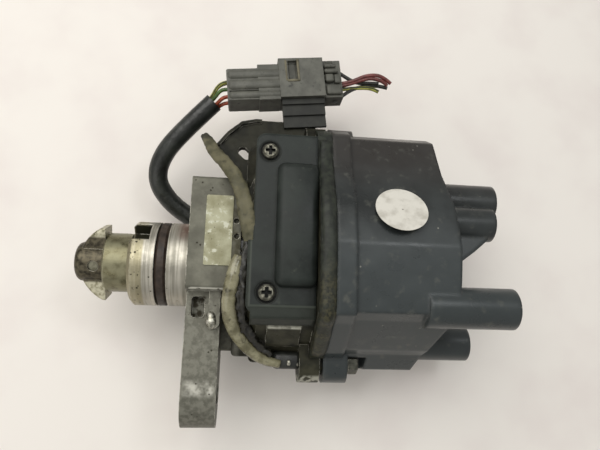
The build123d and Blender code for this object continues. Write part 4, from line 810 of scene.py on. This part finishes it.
def make_fittings():
    """The small parts round the connector, the low strip's end and the ear."""
    rim = rubber("window rim", srgb(66, 62, 46), srgb(112, 106, 84))
    blocks("window_rim", WINDOW_RIM, rim, round_by=0.3, place=CONNECTOR_PLACE)
    blocks("body_ridges", BODY_RIDGES, finishes["connector_plastic"],
           round_by=1.9, place=CONNECTOR_PLACE)
    blocks("rear_latches", REAR_LATCHES, finishes["plug_plastic"],
           round_by=0.9, body="plug", place=CONNECTOR_PLACE)
    blocks("bowl_flank", BOWL_FLANK, finishes["cast_aluminium"], round_by=2.0)
    black = rubber("clamp black", srgb(20, 21, 19), srgb(44, 46, 41), roughness=0.4)
    blocks("strip_clamp", STRIP_CLAMP, black, round_by=2.2)
    bright = steel("bright wear and painted highlight", srgb(130, 128, 116), srgb(196, 194, 182), roughness=0.3, size=1.5)
    blocks("clamp_studs", CLAMP_STUDS, bright, round_by=0.7)
    # The boss at the end of the ear's rib takes this bright steel as a painted highlight.
    strip("ear_boss", EAR_BOSS, bright)


make_fittings()


# ---------------------------------------------------------------- cover hump and brush spring
HUMP_LOW = (37.0, -12.2, 30.0)
HUMP_HIGH = (54.9, 41.2, 36.6)
HUMP_ROUNDING = 3.2
SPRING_TURNS = 4
SPRING_WIRE_RADIUS = 0.25
SPRING_WIRE_SIDES = 8
STEPS_PER_TURN = 24


def make_hump():
    """The cover's soft raised panel."""
    blocks("cover_hump", ((HUMP_LOW, HUMP_HIGH),), finishes["cover_plastic"],
           round_by=HUMP_ROUNDING)


def make_brush_spring():
    """The coil spring behind the carbon brush, a coil of fixed length taken from the brush spring's box."""
    low, high = (Vector(corner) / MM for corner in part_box("brush_spring"))
    coil_radius = (high.y - low.y) / 2 - SPRING_WIRE_RADIUS
    length = high.x - low.x
    rise = length - 2 * SPRING_WIRE_RADIUS
    steps = SPRING_TURNS * STEPS_PER_TURN
    shape = bmesh.new()
    start = Matrix.Translation((low.x + SPRING_WIRE_RADIUS, coil_radius, 0.0))
    bmesh.ops.create_circle(shape, cap_ends=True, segments=SPRING_WIRE_SIDES,
                            radius=SPRING_WIRE_RADIUS, matrix=start)
    bmesh.ops.spin(shape, geom=shape.verts[:] + shape.edges[:] + shape.faces[:], cent=(0, 0, 0),
                   axis=(1, 0, 0), dvec=(rise / steps, 0, 0), angle=tau * SPRING_TURNS, steps=steps,
                   use_merge=False)
    bmesh.ops.recalc_face_normals(shape, faces=shape.faces)
    slot = slots["brush_spring"]
    coil = add_shape("brush_coil", shape, finishes[slot])
    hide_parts("brush_spring")
    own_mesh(coil)


make_hump()
make_brush_spring()


# ---------------------------------------------------------------- stage and light
FLOOR_SIZE = 6.0
PART_CENTRE = (0.03, 0.02, 0.0)
SKY_COLOUR = (1.0, 0.99, 0.96, 1.0)
SKY_STRENGTH = 0.46
# Name, place and size in metres, power in watts, and tint
LAMPS = (
    ("ceiling lamp", (-0.20, 0.26, 0.62), 0.6, 3.5, (1.0, 0.98, 0.94)),
    ("window lamp", (0.27, 0.17, 0.60), 0.14, 0.55, (0.94, 0.98, 1.0)),
    ("side lamp", (-0.45, -0.55, 0.5), 0.6, 1.2, (1.0, 0.97, 0.92)),
)


def make_stage():
    """A plain pale floor under the part."""
    mesh = bpy.data.meshes.new("floor")
    floor = bpy.data.objects.new("floor", mesh)
    bpy.context.scene.collection.objects.link(floor)
    floor_z = cad_box[0][2]
    shape = bmesh.new()
    bmesh.ops.create_grid(shape, x_segments=1, y_segments=1, size=FLOOR_SIZE / 2,
                          matrix=Matrix.Translation((0, 0, floor_z)))
    shape.to_mesh(mesh)
    shape.free()
    made = Finish("pale floor", roughness=0.9, specular=0.1)
    made.colour(made.mix(made.clouds(48.0, 3.0, 0.4, 0.75), srgb(234, 229, 223), srgb(228, 221, 216)))
    mesh.materials.append(made.material)


def make_lamp(name, place, size, power, tint):
    """A soft square lamp that points at the part."""
    light = bpy.data.lights.new(name, "AREA")
    light.shape = "SQUARE"
    light.size = size
    light.energy = power
    light.color = tint
    lamp = bpy.data.objects.new(name, light)
    lamp.location = place
    lamp.rotation_euler = (Vector(PART_CENTRE) - Vector(place)).to_track_quat("-Z", "Y").to_euler()
    bpy.context.scene.collection.objects.link(lamp)


def make_light():
    """Soft light: a pale sky, a large lamp above the far left and two weaker ones."""
    world = bpy.data.worlds.new("studio")
    world.use_nodes = True
    background = world.node_tree.nodes["Background"]
    background.inputs["Color"].default_value = SKY_COLOUR
    background.inputs["Strength"].default_value = SKY_STRENGTH
    bpy.context.scene.world = world
    for row in LAMPS:
        make_lamp(*row)


make_stage()
make_light()
bpy.context.scene.view_settings.view_transform = "Standard"
